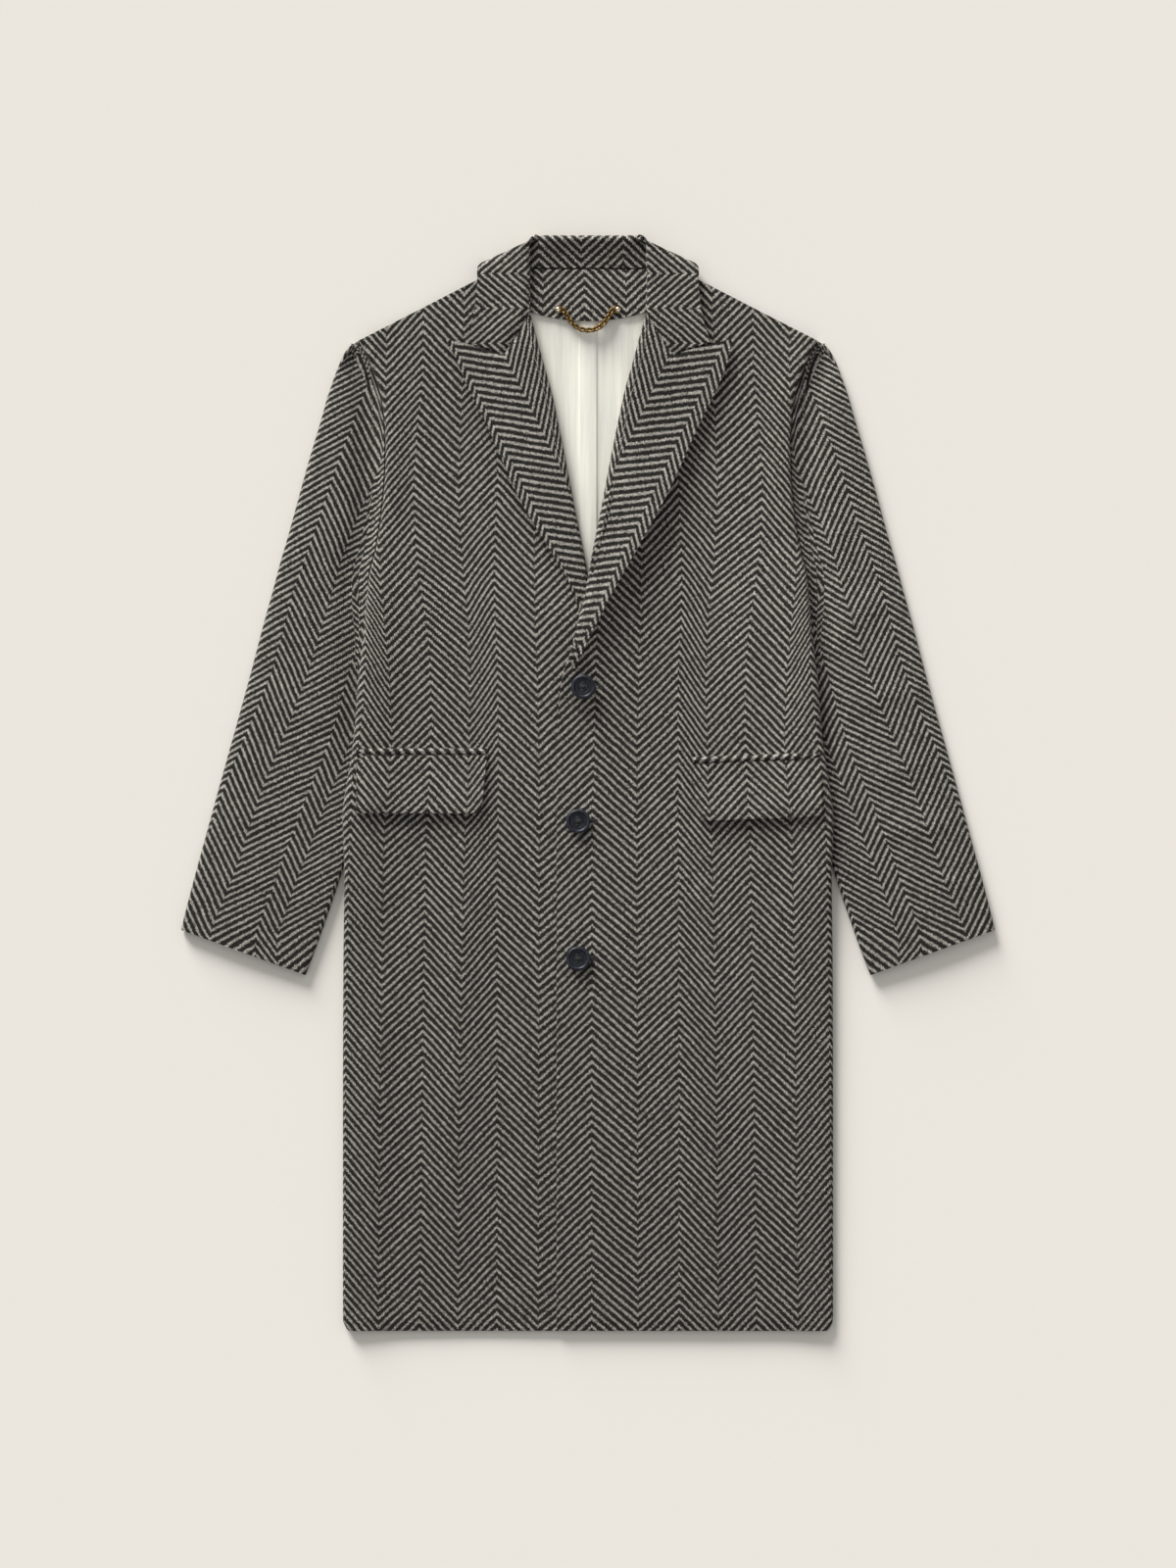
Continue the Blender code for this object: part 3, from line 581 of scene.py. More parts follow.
def cloth_piece(node: str, grid: Grid, weave: Weave, material: Material, hold: Hold,
                wall: float = WOOL_WALL, up: bool = True, rim: float = 0.55) -> Item:
    """Builds one piece of cloth in place of a node of the frame, and works out the size of its cut.

    Args:
        node: the frame's node that it stands for.
        grid: rows of points of its outer face, in mm.
        weave: gives the rib number and the mm along the warp from a row, a column and the face's first column.
        material: its finish.
        hold: how it is held; not used.
        wall: its thickness, which goes inwards.
        up: whether its outer face looks up.
        rim: how far its cut edges are rounded.

    Returns:
        The object.
    """
    columns = len(grid[0])
    sheet = bmesh.new()
    bmesh.ops.create_grid(sheet, x_segments=columns - 1, y_segments=len(grid) - 1, size=1.0)
    sheet.verts.index_update()
    for index, vert in enumerate(sheet.verts):
        row, column = divmod(index, columns)
        vert.co = grid[row][column] * MM
    layer = sheet.loops.layers.uv.new("weave")
    for face in sheet.faces:
        face.smooth = True
        first = min(loop.vert.index % columns for loop in face.loops)
        for loop in face.loops:
            loop[layer].uv = weave(*divmod(loop.vert.index, columns), first)
    sheet.normal_update()
    if (sum(face.normal.z * face.calc_area() for face in sheet.faces) > 0.0) != up:
        bmesh.ops.reverse_faces(sheet, faces=sheet.faces)
    item = placed(node + "_cloth", sheet, material)
    solid = item.modifiers.new("wall", "SOLIDIFY")
    solid.thickness = wall * MM
    solid.offset = -1.0
    solid.use_quality_normals = True
    rounding = item.modifiers.new("rim", "BEVEL")
    rounding.width = rim * MM
    rounding.segments = 2
    rounding.profile = 0.5
    rounding.limit_method = "ANGLE"
    rounding.angle_limit = math.radians(RIM_BEND)
    rounding.harden_normals = True
    width = max(sum((b - a).length for a, b in zip(line, line[1:])) for line in grid) * MM
    length = max(sum((b[column] - a[column]).length for a, b in zip(grid, grid[1:]))
                 for column in (0, columns // 2, -1)) * MM
    hold_on(item, "coat", node)
    return item


def placed(name: str, shape: Shape, material: Material) -> Item:
    """Puts a bmesh, in metres in the shared frame, into the scene as an object at the origin; frees it."""
    mesh = bpy.data.meshes.new(name)
    shape.to_mesh(mesh)
    shape.free()
    mesh.materials.append(material)
    item = bpy.data.objects.new(name, mesh)
    bpy.context.scene.collection.objects.link(item)
    return item


def finished(name: str, shape: Shape, material: Material) -> Item:
    """Turns a bmesh into a finished object with smooth faces and sharp corners.

    Args:
        name: the piece's name.
        shape: its mesh; it is freed.
        material: its finish.

    Returns:
        The object.
    """
    bmesh.ops.recalc_face_normals(shape, faces=shape.faces)
    for face in shape.faces:
        face.smooth = True
    item = placed(name, shape, material)
    item.data.set_sharp_from_angle(angle=math.radians(SHARP))
    return item


def hold_on(item: Item, body: str, node: str = "") -> Item:
    """Puts a piece on its body, in place of a node if one is named; returns it."""
    if node:
        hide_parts(node)
    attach(item, body)
    return item


def spun(shape: Shape, profile: Sequence[Point], at: Vector, steps: int) -> None:
    """Spins a profile round an upright axis.

    Args:
        shape: the bmesh to add to.
        profile: radius and height pairs in mm, from the axis above to the axis below.
        at: the axis's foot, in mm.
        steps: faces round the circle.
    """
    before = set(shape.verts)
    verts = [shape.verts.new((at + Vector((radius, 0.0, height))) * MM) for radius, height in profile]
    edges = [shape.edges.new(pair) for pair in zip(verts, verts[1:])]
    bmesh.ops.spin(shape, geom=verts + edges, cent=at * MM, axis=(0, 0, 1), angle=math.tau, steps=steps,
                   use_merge=True)
    bmesh.ops.remove_doubles(shape, verts=[vert for vert in shape.verts if vert not in before], dist=1e-6)


def tube(shape: Shape, path: Sequence[Vector], radius: float, closed: bool = False, sides: int = 8) -> None:
    """Adds a round thread or wire along a path.

    Args:
        shape: the bmesh to add to.
        path: its centre line, in mm.
        radius: its radius, in mm.
        closed: whether the path joins up.
        sides: faces round the wire.
    """
    count = len(path)
    rings = []
    for index, spot in enumerate(path):
        ahead = path[(index + 1) % count] if closed or index < count - 1 else spot
        behind = path[index - 1] if closed or index > 0 else spot
        turn = (ahead - behind).to_track_quat("Z", "Y").to_matrix().to_4x4()
        ring = bmesh.ops.create_circle(shape, cap_ends=False, radius=radius * MM, segments=sides,
                                       matrix=Matrix.Translation(spot * MM) @ turn)["verts"]
        rings.append(list({edge for vert in ring for edge in vert.link_edges}))
        if index:
            bmesh.ops.bridge_loops(shape, edges=rings[-2] + rings[-1])
    if closed:
        bmesh.ops.bridge_loops(shape, edges=rings[-1] + rings[0])
    else:
        for edges in (rings[0], rings[-1]):
            bmesh.ops.contextual_create(shape, geom=edges)


def round_edge(radius: float, level: float, steps: int) -> list[Point]:
    """Points round a folded edge from below to above, as (distance in from the edge, height)."""
    return [(radius - radius * math.cos(math.radians(mix(-90, 90, step / steps))),
             level + radius * math.sin(math.radians(mix(-90, 90, step / steps)))) for step in range(steps + 1)]


@dataclass
class Shell:
    """The parts under the fronts: back, neck facing and lining."""

    pleat: float = 9.0           # half the centre pleat's width
    pleat_step: float = 1.7      # how far it stands up
    neck_seam: float = 525.6
    rib: float = 42.5

    def back(self, wool: Material) -> Item:
        """Builds the back, whose outer face lies on the floor; returns it."""
        probe, grid = Probe("back"), []
        for place in stations(FRONT_ROWS, (1, 3), 9.0):
            _, inner_y, outer_x, outer_y, turn = spline_at(FRONT_ROWS, place)
            half = outer_x - 1.6 - smooth_step(225, 190, outer_y) * (turn + 5.0)
            line = []
            for index in range(61):
                x = half * (index / 30 - 1)
                y = mix(min(inner_y, self.neck_seam), outer_y, max(0.0, (abs(x) - 72) / (half - 72)))
                line.append(Vector((x, y + 0.8 * (place > 24.9), max(0.0, probe.height(x, y, above=False)))))
            grid.append(line)
        return cloth_piece("back", grid, lambda row, column, first: (
            grid[row][column].x / self.rib, grid[row][column].y), wool, Hold.LAID, up=False)

    def facing(self, wool: Material) -> Item:
        """Builds the neck facing inside the back; returns it."""
        probe = Probe("neck_facing")
        plan = [[(62.0 * (index / 20 - 1), mix(self.neck_seam, 472.4 + 10 * (index / 20 - 1) ** 2, step / 12))
                 for index in range(41)] for step in range(13)]
        heights = [[probe.height(x * 0.985, min(y, 524.5)) + LIFT for x, y in line] for line in plan]
        relax(heights, 4)
        grid = [[Vector((x, y - 0.6, z - 1.2 * smooth_step(2.2, 0, row))) for (x, y), z in zip(line, tops)]
                for row, (line, tops) in enumerate(zip(plan, heights))]
        return cloth_piece("neck_facing", grid, lambda row, column, first: (
            2 + (grid[row][column].x + 3.6) / self.rib, grid[row][column].y + 2.0), wool, Hold.LAID)

    def lining(self, satin: Material) -> Item:
        """Builds the back lining with its centre pleat; returns it."""
        table = ((486, 66), (470, 66), (430, 60), (385, 54), (340, 46), (290, 38), (240, 32), (190, 28))
        probe, grid, plan = Probe("back_lining"), [], []
        for step in range(51):
            y = mix(486, 190, step / 50)
            half = lookup(table, y)[0]
            columns = [-(half - (half - self.pleat) * index / 9) for index in range(10)]
            columns += [0.3 - self.pleat, -self.pleat / 2, 0.0]
            plan.append([(x, y) for x in columns + [-x for x in reversed(columns[:-1])]])
        heights = [[probe.height(x * 0.98, y) for x, y in line] for line in plan]
        relax(heights, 5)
        for line, tops in zip(plan, heights):
            row = []
            for (x, y), z in zip(line, tops):
                soft = 0.9 * math.exp(-((abs(x) - 34 - 0.03 * (480 - y)) / 5) ** 2) * smooth_step(190, 300, y)
                pleat = self.pleat_step * smooth_step(self.pleat + 0.2, self.pleat - 0.6, abs(x))
                row.append(Vector((x, y, z + LIFT + soft + pleat - 0.6)))
            grid.append(row)
        return cloth_piece("back_lining", grid, lambda row, column, first: (
            grid[row][column].x, grid[row][column].y), satin, Hold.LAID, wall=0.6, rim=0.2)


@dataclass
class Sleeve:
    """One sleeve, pressed flat: a top piece wrapped round both folds, and an under piece."""

    side: Side
    crown: float = 1.6           # how far the middle swells
    groove: float = 0.78         # how far the sleeve dips where the body's side lies on it
    groove_width: float = 40.0
    tilt: float = 15.4       # degrees, how far the warp leans off upright
    cut_away: float = 20.0   # what the hind seam takes off a rib
    near: float = 2.9        # the body side fold's radius
    far: float = 3.6         # the outer fold's radius

    def place(self, h: float, y: float) -> Point:
        """The weave at a place: h is outward from the centre line."""
        zero, one, two = lookup(SLEEVE_RIBS, y)
        outer = lookup([(row[3], row[2]) for row in SLEEVE_ROWS], y)[0]
        edges = ((zero - 82, -2), (zero - 41, -1), (zero, 0), (one, 1), (two, 2), (two + 21, 3), (two + 62, 4),
                 (two + 103, 5))
        lean = math.radians(self.tilt)
        rib = rib_number(edges, outer - h)
        # The rib that the seam cuts short keeps the twill's slope.
        cut = self.cut_away * min(1.0, max(0.0, rib - 2.0))
        return rib, -h * math.sin(lean) + y * math.cos(lean) - cut

    def build(self, wool: Material) -> list[Item]:
        """Builds both pieces; returns them."""
        node, below = "top_sleeve_" + self.side.word, "under_sleeve_" + self.side.word
        probe, sign = Probe(node), self.side.value
        plan, under, flat, grid = [], [], [], []
        for place in stations(SLEEVE_ROWS, (1, 3), CELL):
            inner_x, inner_y, outer_x, outer_y = spline_at(SLEEVE_ROWS, place)
            dx, dy, width = toward((inner_x + 0.7, inner_y), (outer_x, outer_y))
            top = probe.height(sign * (inner_x + dx * width / 2), inner_y + dy * width / 2) + LIFT
            near, far = min(self.near, width * 0.3), min(self.far, width * 0.3)
            turn = max(0.6, min(16.0, (width - near - far) / 2 - 1.0))
            spots = [(near + turn - turn * index / 3, 0.0) for index in range(3)] + round_edge(near, near, 6)
            spots += [(mix(near, width - far, index / 25), None) for index in range(1, 25)]
            spots += [(width - depth, z) for depth, z in reversed(round_edge(far, far, 6))]
            spots += [(width - far - turn * index / 3, 0.0) for index in range(1, 4)]
            line, run = [], []
            unrolled = -math.pi * near / 2 - turn
            previous = None
            for index, (depth, z) in enumerate(spots):
                if z is None:
                    inset = min(max(depth, 6.0), width - 6.0) if width > 14 else width / 2
                    high = probe.height(sign * (inner_x + dx * inset), inner_y + dy * inset) + LIFT
                    z = high + self.crown * math.sin(math.pi * (depth / width)) * smooth_step(8, 60, width)
                    beside = smooth_step(-40, 60, inner_y)
                    z *= 1.0 - beside * self.groove * smooth_step(self.groove_width, 17.0, depth)
                elif z > 0.0:
                    z *= top / (2 * (near if index < 12 else far))
                if previous is not None:
                    unrolled += math.hypot(depth - previous[0], z - previous[1])
                previous = (depth, z)
                line.append([sign * (inner_x + dx * depth), inner_y + dy * depth, z])
                run.append((inner_x + dx * (unrolled + near), inner_y + dy * (unrolled + near)))
            plan.append(line)
            flat.append(run)
            if place >= 3.0:
                first, last = near + turn + 1.2, width - far - turn - 1.2
                under.append([Vector((sign * (inner_x + dx * mix(first, last, part / 8)),
                                      inner_y + dy * mix(first, last, part / 8), 0.0)) for part in range(9)])
        heights = [[spot[2] for spot in line[9:-9]] for line in plan]
        relax(heights, 4)
        for line, tops in zip(plan, heights):
            for spot, z in zip(line[9:-9], tops):
                spot[2] = z
            top = max(spot[2] for spot in line)
            grid.append([Vector((x, y, z + drape_lift(x, y) * (z / top) ** 2)) for x, y, z in line])
        return [cloth_piece(node, grid, lambda row, column, first: self.place(*flat[row][column]), wool, Hold.FOLDED),
                cloth_piece(below, under, lambda row, column, first: self.place(
                    abs(under[row][column].x), under[row][column].y), wool, Hold.LAID, up=False)]


@dataclass
class Front:
    """One front: the top layer, its rolled side and what is turned under to the side seam."""

    side: Side
    inset: float = 9.5       # how far the front stops short of the roll under a lapel
    flats: int = 44          # grid columns on the top layer
    side_swell: float = 3.0  # how far the side stands up beside the sleeve
    shift: float = 3.6       # how far the right front's twill lines miss those of the left, laid over it

    @staticmethod
    def place(h: float, y: float) -> Point:
        """The weave at a place: h is outward from the centre line."""
        *ribs, zero = lookup(FRONT_RIBS, y)
        edges = [(ribs[5] - 84, 8), (ribs[5] - 42, 7)] + [(ribs[index], index + 1) for index in range(5, -1, -1)]
        return rib_number(edges + [(zero, 0), (zero + 42, -1)], h), y

    def build(self, wool: Material) -> Item:
        """Builds the front; returns it."""
        node = "front_" + self.side.word
        probe, sign = Probe(node), self.side.value
        sections, flat, heights, grid = [], [], [], []
        for place in stations(FRONT_ROWS, (1, 3), CELL):
            inner_x, inner_y, outer_x, outer_y, turn = spline_at(FRONT_ROWS, place)
            inner_x += self.inset * smooth_step(2.2, 3.0, place) * smooth_step(11.8, 11.0, place)
            dx, dy, width = toward((outer_x, outer_y), (inner_x, inner_y))
            tops = []
            for index in range(self.flats):
                depth = mix(2.0, width, index / (self.flats - 1))
                inset = min(max(depth, 7.0), width - 1.2)
                swell = self.side_swell * math.exp(-((depth - 7.0) / 9.0) ** 2) * smooth_step(-120, 0, outer_y)
                tops.append(probe.height(sign * (outer_x + dx * inset), outer_y + dy * inset) + LIFT + swell)
            low = probe.height(sign * (outer_x + dx * 5.5), outer_y + dy * 5.5, above=False)
            heights.append(tops)
            sections.append((outer_x, outer_y, dx, dy, outer_x + dx * width, outer_y + dy * width, low, turn))
        relax(heights, 7)
        for tops, (edge_x, edge_y, dx, dy, end_x, end_y, low, turn) in zip(heights, sections):
            radius = max(1.0, (tops[0] - low) / 2)
            line, run = [], []
            length = math.pi * radius
            for part in range(3):
                depth = radius + turn * (3 - part) / 3
                line.append(Vector((sign * (edge_x + dx * depth), edge_y + dy * depth, low)))
                run.append((edge_x + dx * (radius - length - turn * (3 - part) / 3), edge_y))
            for step, (depth, z) in enumerate(round_edge(radius, low + radius, 8)):
                x, y = edge_x + dx * depth, edge_y + dy * depth
                share = (z - low) / (2 * radius)
                line.append(Vector((sign * x, y, z + share * share * drape_lift(sign * x, y))))
                run.append((edge_x + dx * (radius - length * (1 - step / 8)), edge_y + dy * radius))
            for index in range(1, self.flats):
                share = index / (self.flats - 1)
                x, y = mix(edge_x + dx * radius, end_x, share), mix(edge_y + dy * radius, end_y, share)
                line.append(Vector((sign * x, y, tops[index] + drape_lift(sign * x, y))))
                run.append((x, y))
            grid.append(line)
            flat.append(run)
        miss = self.shift if self.side is Side.RIGHT else 0.0

        def weave(row: int, column: int, first: int) -> Point:
            """The weave of one point."""
            rib, along = self.place(*flat[row][column])
            return rib, along + miss

        return cloth_piece(node, grid, weave, wool, Hold.LAID)


@dataclass
class Lapel:
    """One notched lapel, rolled back over its front."""

    side: Side
    first_rib: float         # from the free edge to the first rib edge
    rib: float               # the next rib's width
    wall: float = 2.4
    edge_lift: float = 2.8   # how far the free edge stands off the front
    skew: float = 0.27       # how far the twill leans with the lapel's bias
    unroll: int = 13         # the column that the weave is opened out from
    spans: int = 26          # grid cells from the roll to the free edge

    def build(self, wool: Material) -> Item:
        """Builds the lapel; returns it."""
        node, sign = "lapel_" + self.side.word, self.side.value
        probe, front = Probe(node), Probe("front_" + self.side.word)
        rolls, plan, heights, grid = [], [], [], []
        for place in stations(LAPEL_ROWS, (1, 2), 5.0):
            row = LapelRow(*spline_at(LAPEL_ROWS, place))
            edge_x = row.edge_right if self.side is Side.RIGHT else row.edge_left
            last = smooth_step(8.6, 9.4, place)
            fade = smooth_step(GORGE_REACH, 0.0, place)
            dx, dy, width = toward((row.roll_x, row.roll_y), (edge_x, row.edge_y))
            line, tops = [], []
            start = min(3.4, width * 0.3)
            for index in range(self.spans + 1):
                depth = mix(start, width, index / self.spans)
                across = depth / width
                off_x, off_y = gorge_offset(across, (mix(GORGE[0][1], GORGE[-1][1], across),
                                                     mix(GORGE[0][2], GORGE[-1][2], across)))
                x = row.roll_x + dx * depth + off_x * fade
                y = row.roll_y + dy * depth + off_y * fade
                inside = min(max(depth, min(6.0, width * 0.5)), width - 1.5) / depth
                within = probe.height(sign * mix(row.roll_x, x, inside), mix(row.roll_y, y, inside)) + LIFT
                beyond = front.height(sign * max(x, -10.0 - place), y) + mix(3.4, 0.6, smooth_step(9.0, 10.0, place))
                tops.append(mix(within, beyond, last))
                line.append((x, y))
            depth = min(6.0, width * 0.6)
            low = probe.height(sign * (row.roll_x + dx * depth), row.roll_y + dy * depth, above=False)
            plan.append(line)
            heights.append(tops)
            rolls.append((row.roll_x, row.roll_y, dx, dy, mix(low, min(tops) - 2.0, last), width))
        relax(heights, 5)
        for line, tops, (roll_x, roll_y, dx, dy, low, width) in zip(plan, heights, rolls):
            radius = max(0.9, min((tops[0] - low) / 2, width * 0.45))
            spots = [(radius + 7.0 * part, low) for part in (1.0, 0.5)] + round_edge(radius, tops[0] - radius, 9)
            row = [Vector((sign * (roll_x + dx * depth), roll_y + dy * depth, z)) for depth, z in spots]
            for index, ((x, y), z) in enumerate(zip(line, tops)):
                lift = self.edge_lift * smooth_step(0.45, 1.0, index / self.spans) * smooth_step(6, 40, width)
                out = min(1.0, 0.25 + index / 4)
                x, y = mix(roll_x + dx * radius, x, out), mix(roll_y + dy * radius, y, out)
                row.append(Vector((sign * x, y, z + lift)))
            grid.append([Vector((v.x, v.y, v.z + drape_lift(v.x, v.y) * smooth_step(0, 6, v.z - low)))
                         for v in row])
        top, end = LAPEL_ROWS[1], LAPEL_ROWS[6]
        edge = (top.edge_right, end.edge_right) if self.side is Side.RIGHT else (top.edge_left, end.edge_left)
        down_x, down_y, _ = toward((edge[0], top.edge_y), (edge[1], end.edge_y))

        def weave(row: int, column: int, first: int) -> Point:
            """The weave of one point, square to the lapel's free edge, as if the roll were opened out."""
            line = grid[row]
            base = max(column, self.unroll)
            beyond = sum((line[place + 1] - line[place]).length for place in range(column, base))
            over_x, over_y, _ = toward((abs(line[-1].x), line[-1].y), (abs(line[self.unroll].x), line[self.unroll].y))
            x = sign * line[base].x + over_x * beyond - edge[0]
            y = line[base].y + over_y * beyond - top.edge_y
            inward = x * down_y - y * down_x
            return (inward - self.first_rib) / self.rib, -(x * down_x + y * down_y) - self.skew * inward

        return cloth_piece(node, grid, weave, wool, Hold.FOLDED,
                           wall=self.wall, rim=0.8)


@dataclass
class Collar:
    """Stand and fall in one, folded at the roll line."""

    wall: float = 2.3
    fine: int = 4            # grid columns between two of the profile's points
    rows_between: int = 6
    rib: float = 35.5
    first_rib: float = 484.5
    roll_point: int = 4

    def half(self) -> list[list[float]]:
        """The profile's points at each station of one half, as flat rows of x, y, z."""
        probe, made, base = Probe("collar"), [], COLLAR_ROWS[0]
        for index, row in enumerate(COLLAR_ROWS):
            fade = smooth_step(GORGE_REACH, 0.0, index)
            dx, dy, width = toward((row.roll_x, row.roll_y), (row.rim_x, row.rim_y))
            sx, sy, stand = toward((row.roll_x, row.roll_y), (row.seam_x, row.seam_y))
            drop = row.roll_z - row.seam_z
            if index >= 7:
                inner = ((stand * 0.6, row.seam_z + drop * 0.3), (stand * 0.25, row.seam_z + drop * 0.8),
                         (3.0, row.roll_z - 0.4), (0.0, row.roll_z - 4.0))
                fall = ((0.06, 0.42), (0.2, 0.14), (0.42, 0.0), (0.6, 0.0), (0.8, 0.0), (1.0, 0.0))
            else:
                inner = ((stand * 0.5, row.seam_z), (min(2.0, stand * 0.3), row.seam_z + 0.4),
                         (0.0, (row.roll_z + row.seam_z) / 2 - 0.5))
                fall = ((0.1, 1.0), (0.24, 0.85), (0.44, 0.6), (0.6, 0.4), (0.8, 0.2), (1.0, 0.0))
            line = [(row.seam_x, row.seam_y, row.seam_z)]
            line += [(row.roll_x + sx * depth, row.roll_y + sy * depth, z) for depth, z in inner]
            if index < 7:
                line.append((row.roll_x + dx * 1.2, row.roll_y + dy * 1.2, row.roll_z - 1.0))
            for share, height in fall:
                x, y = row.roll_x + dx * width * share, row.roll_y + dy * width * share
                off_x, off_y = gorge_offset(share * COLLAR_SHARE, (mix(base.roll_x, base.rim_x, share),
                                                                   mix(base.roll_y, base.rim_y, share)))
                x, y = x + off_x * fade, y + off_y * fade + 1.0 * (index == 0)
                z = row.rim_z + (row.roll_z - row.rim_z) * height
                if index < 6:
                    inside = min(share, 0.93) / share
                    z = probe.height(mix(row.roll_x, x, inside), mix(row.roll_y, y, inside)) + LIFT
                    z += 1.8 * smooth_step(0.6, 1.0, share)
                line.append((x, y, z))
            made.append([value for spot in line for value in spot])
        return made

    def build(self, wool: Material) -> Item:
        """Builds the collar; returns it."""
        half = self.half()
        rows = half + [[-v if place % 3 == 0 else v for place, v in enumerate(row)] for row in reversed(half[:-1])]
        grid = []
        for step in range((len(rows) - 1) * self.rows_between + 1):
            row = spline_at(rows, step / self.rows_between)
            spots = [row[place:place + 3] for place in range(0, len(row), 3)]
            line = [Vector(spline_at(spots, part / self.fine)) for part in range((len(spots) - 1) * self.fine + 1)]
            grid.append([Vector((v.x, v.y, max(v.z, 0.0))) for v in line])

        def weave(row: int, column: int, first: int) -> Point:
            """The weave of one point: ribs run round the fall, and up the stand."""
            spot = grid[row][column]
            if first >= self.roll_point * self.fine:
                return 1 + (spot.y - self.first_rib) / self.rib, abs(spot.x)
            return 1 + (spot.x + 7.0) / 43.0, spot.y

        return cloth_piece("collar", grid, weave, wool, Hold.FOLDED,
                           wall=self.wall, rim=0.8)


@dataclass
class Pocket:
    """A jetted pocket with its flap, laid on a front."""

    side: Side
    inner_top: float         # the jet's top edge at its inner end
    outer_top: float
    inner_x: float
    outer_x: float
    drop: float              # the flap's depth
    jet_height: float = 7.0
    spans: int = 40          # grid cells along it
    corner: float = 10.0     # the inner corner's radius
    lean: float = 5.0
    flap_wall: float = 2.2
    flap_lift: float = 3.3   # how far the flap's free edge stands off the front

    def jet(self, wool: Material) -> Item:
        """Builds the pair of welts over the flap; returns it."""
        node, sign = "pocket_jet_" + self.side.word, self.side.value
        probe, grid = Probe(node), []
        for step in range(13):
            share = step / 12
            line = []
            for index in range(self.spans + 1):
                x = mix(self.inner_x, self.outer_x, index / self.spans)
                y = mix(self.inner_top, self.outer_top, index / self.spans) - share * self.jet_height
                z = probe.height(sign * min(max(x, self.inner_x + 1), self.outer_x - 1), y + 0.6 * (0.5 - share))
                swell = 1.7 * math.sin(math.pi * share) - 0.9
                line.append(Vector((sign * x, y, z + swell + drape_lift(sign * x, y))))
            grid.append(line)
        return cloth_piece(node, grid, lambda row, column, first: (
            0.15 + row / 12 * 0.12, abs(grid[row][column].x) * 0.85), wool, Hold.LAID,
            wall=1.4, rim=0.5)

    def flap(self, wool: Material) -> Item:
        """Builds the flap; returns it."""
        node, sign = "pocket_flap_" + self.side.word, self.side.value
        probe, plan, heights = Probe(node), [], []
        for step in range(16):
            share = step / 15
            line, tops = [], []
            for index in range(self.spans + 1):
                along = (index / self.spans) ** 1.35
                x = mix(self.inner_x, self.outer_x, along)
                near = max(0.0, self.corner - (x - self.inner_x))
                short = self.corner - math.sqrt(max(0.0, self.corner ** 2 - near ** 2))
                y = mix(self.inner_top, self.outer_top, along) - self.jet_height - 0.4 - share * (self.drop - short)
                x += self.lean * share * (1.0 - along)
                line.append((x, y))
                safe_x = min(max(x, self.inner_x + 5 * share + 2.0), self.outer_x - 2.0)
                tops.append(probe.height(sign * safe_x, y + 1.5 * (0.5 - share) * 2) + LIFT)
            plan.append(line)
            heights.append(tops)
        relax(heights, 4)
        grid = []
        for row, (line, tops) in enumerate(zip(plan, heights)):
            below, beside = smooth_step(2, 15, row), 0.6 * smooth_step(0, 5, row)
            lifts = [self.flap_lift * max(below, smooth_step(9, 0, column) * beside) for column in range(self.spans + 1)]
            grid.append([Vector((sign * x, y, z + drape_lift(sign * x, y) + lift))
                         for (x, y), z, lift in zip(line, tops, lifts)])
        return cloth_piece(node, grid, lambda row, column, first: Front.place(*plan[row][column]), wool, Hold.HUNG,
                           wall=self.flap_wall, rim=0.8)


def foot_of(node: str) -> Vector:
    """The foot of a round node's upright axis, in mm."""
    low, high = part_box(node)
    return Vector(((low.x + high.x) / 2, (low.y + high.y) / 2, low.z)) / MM


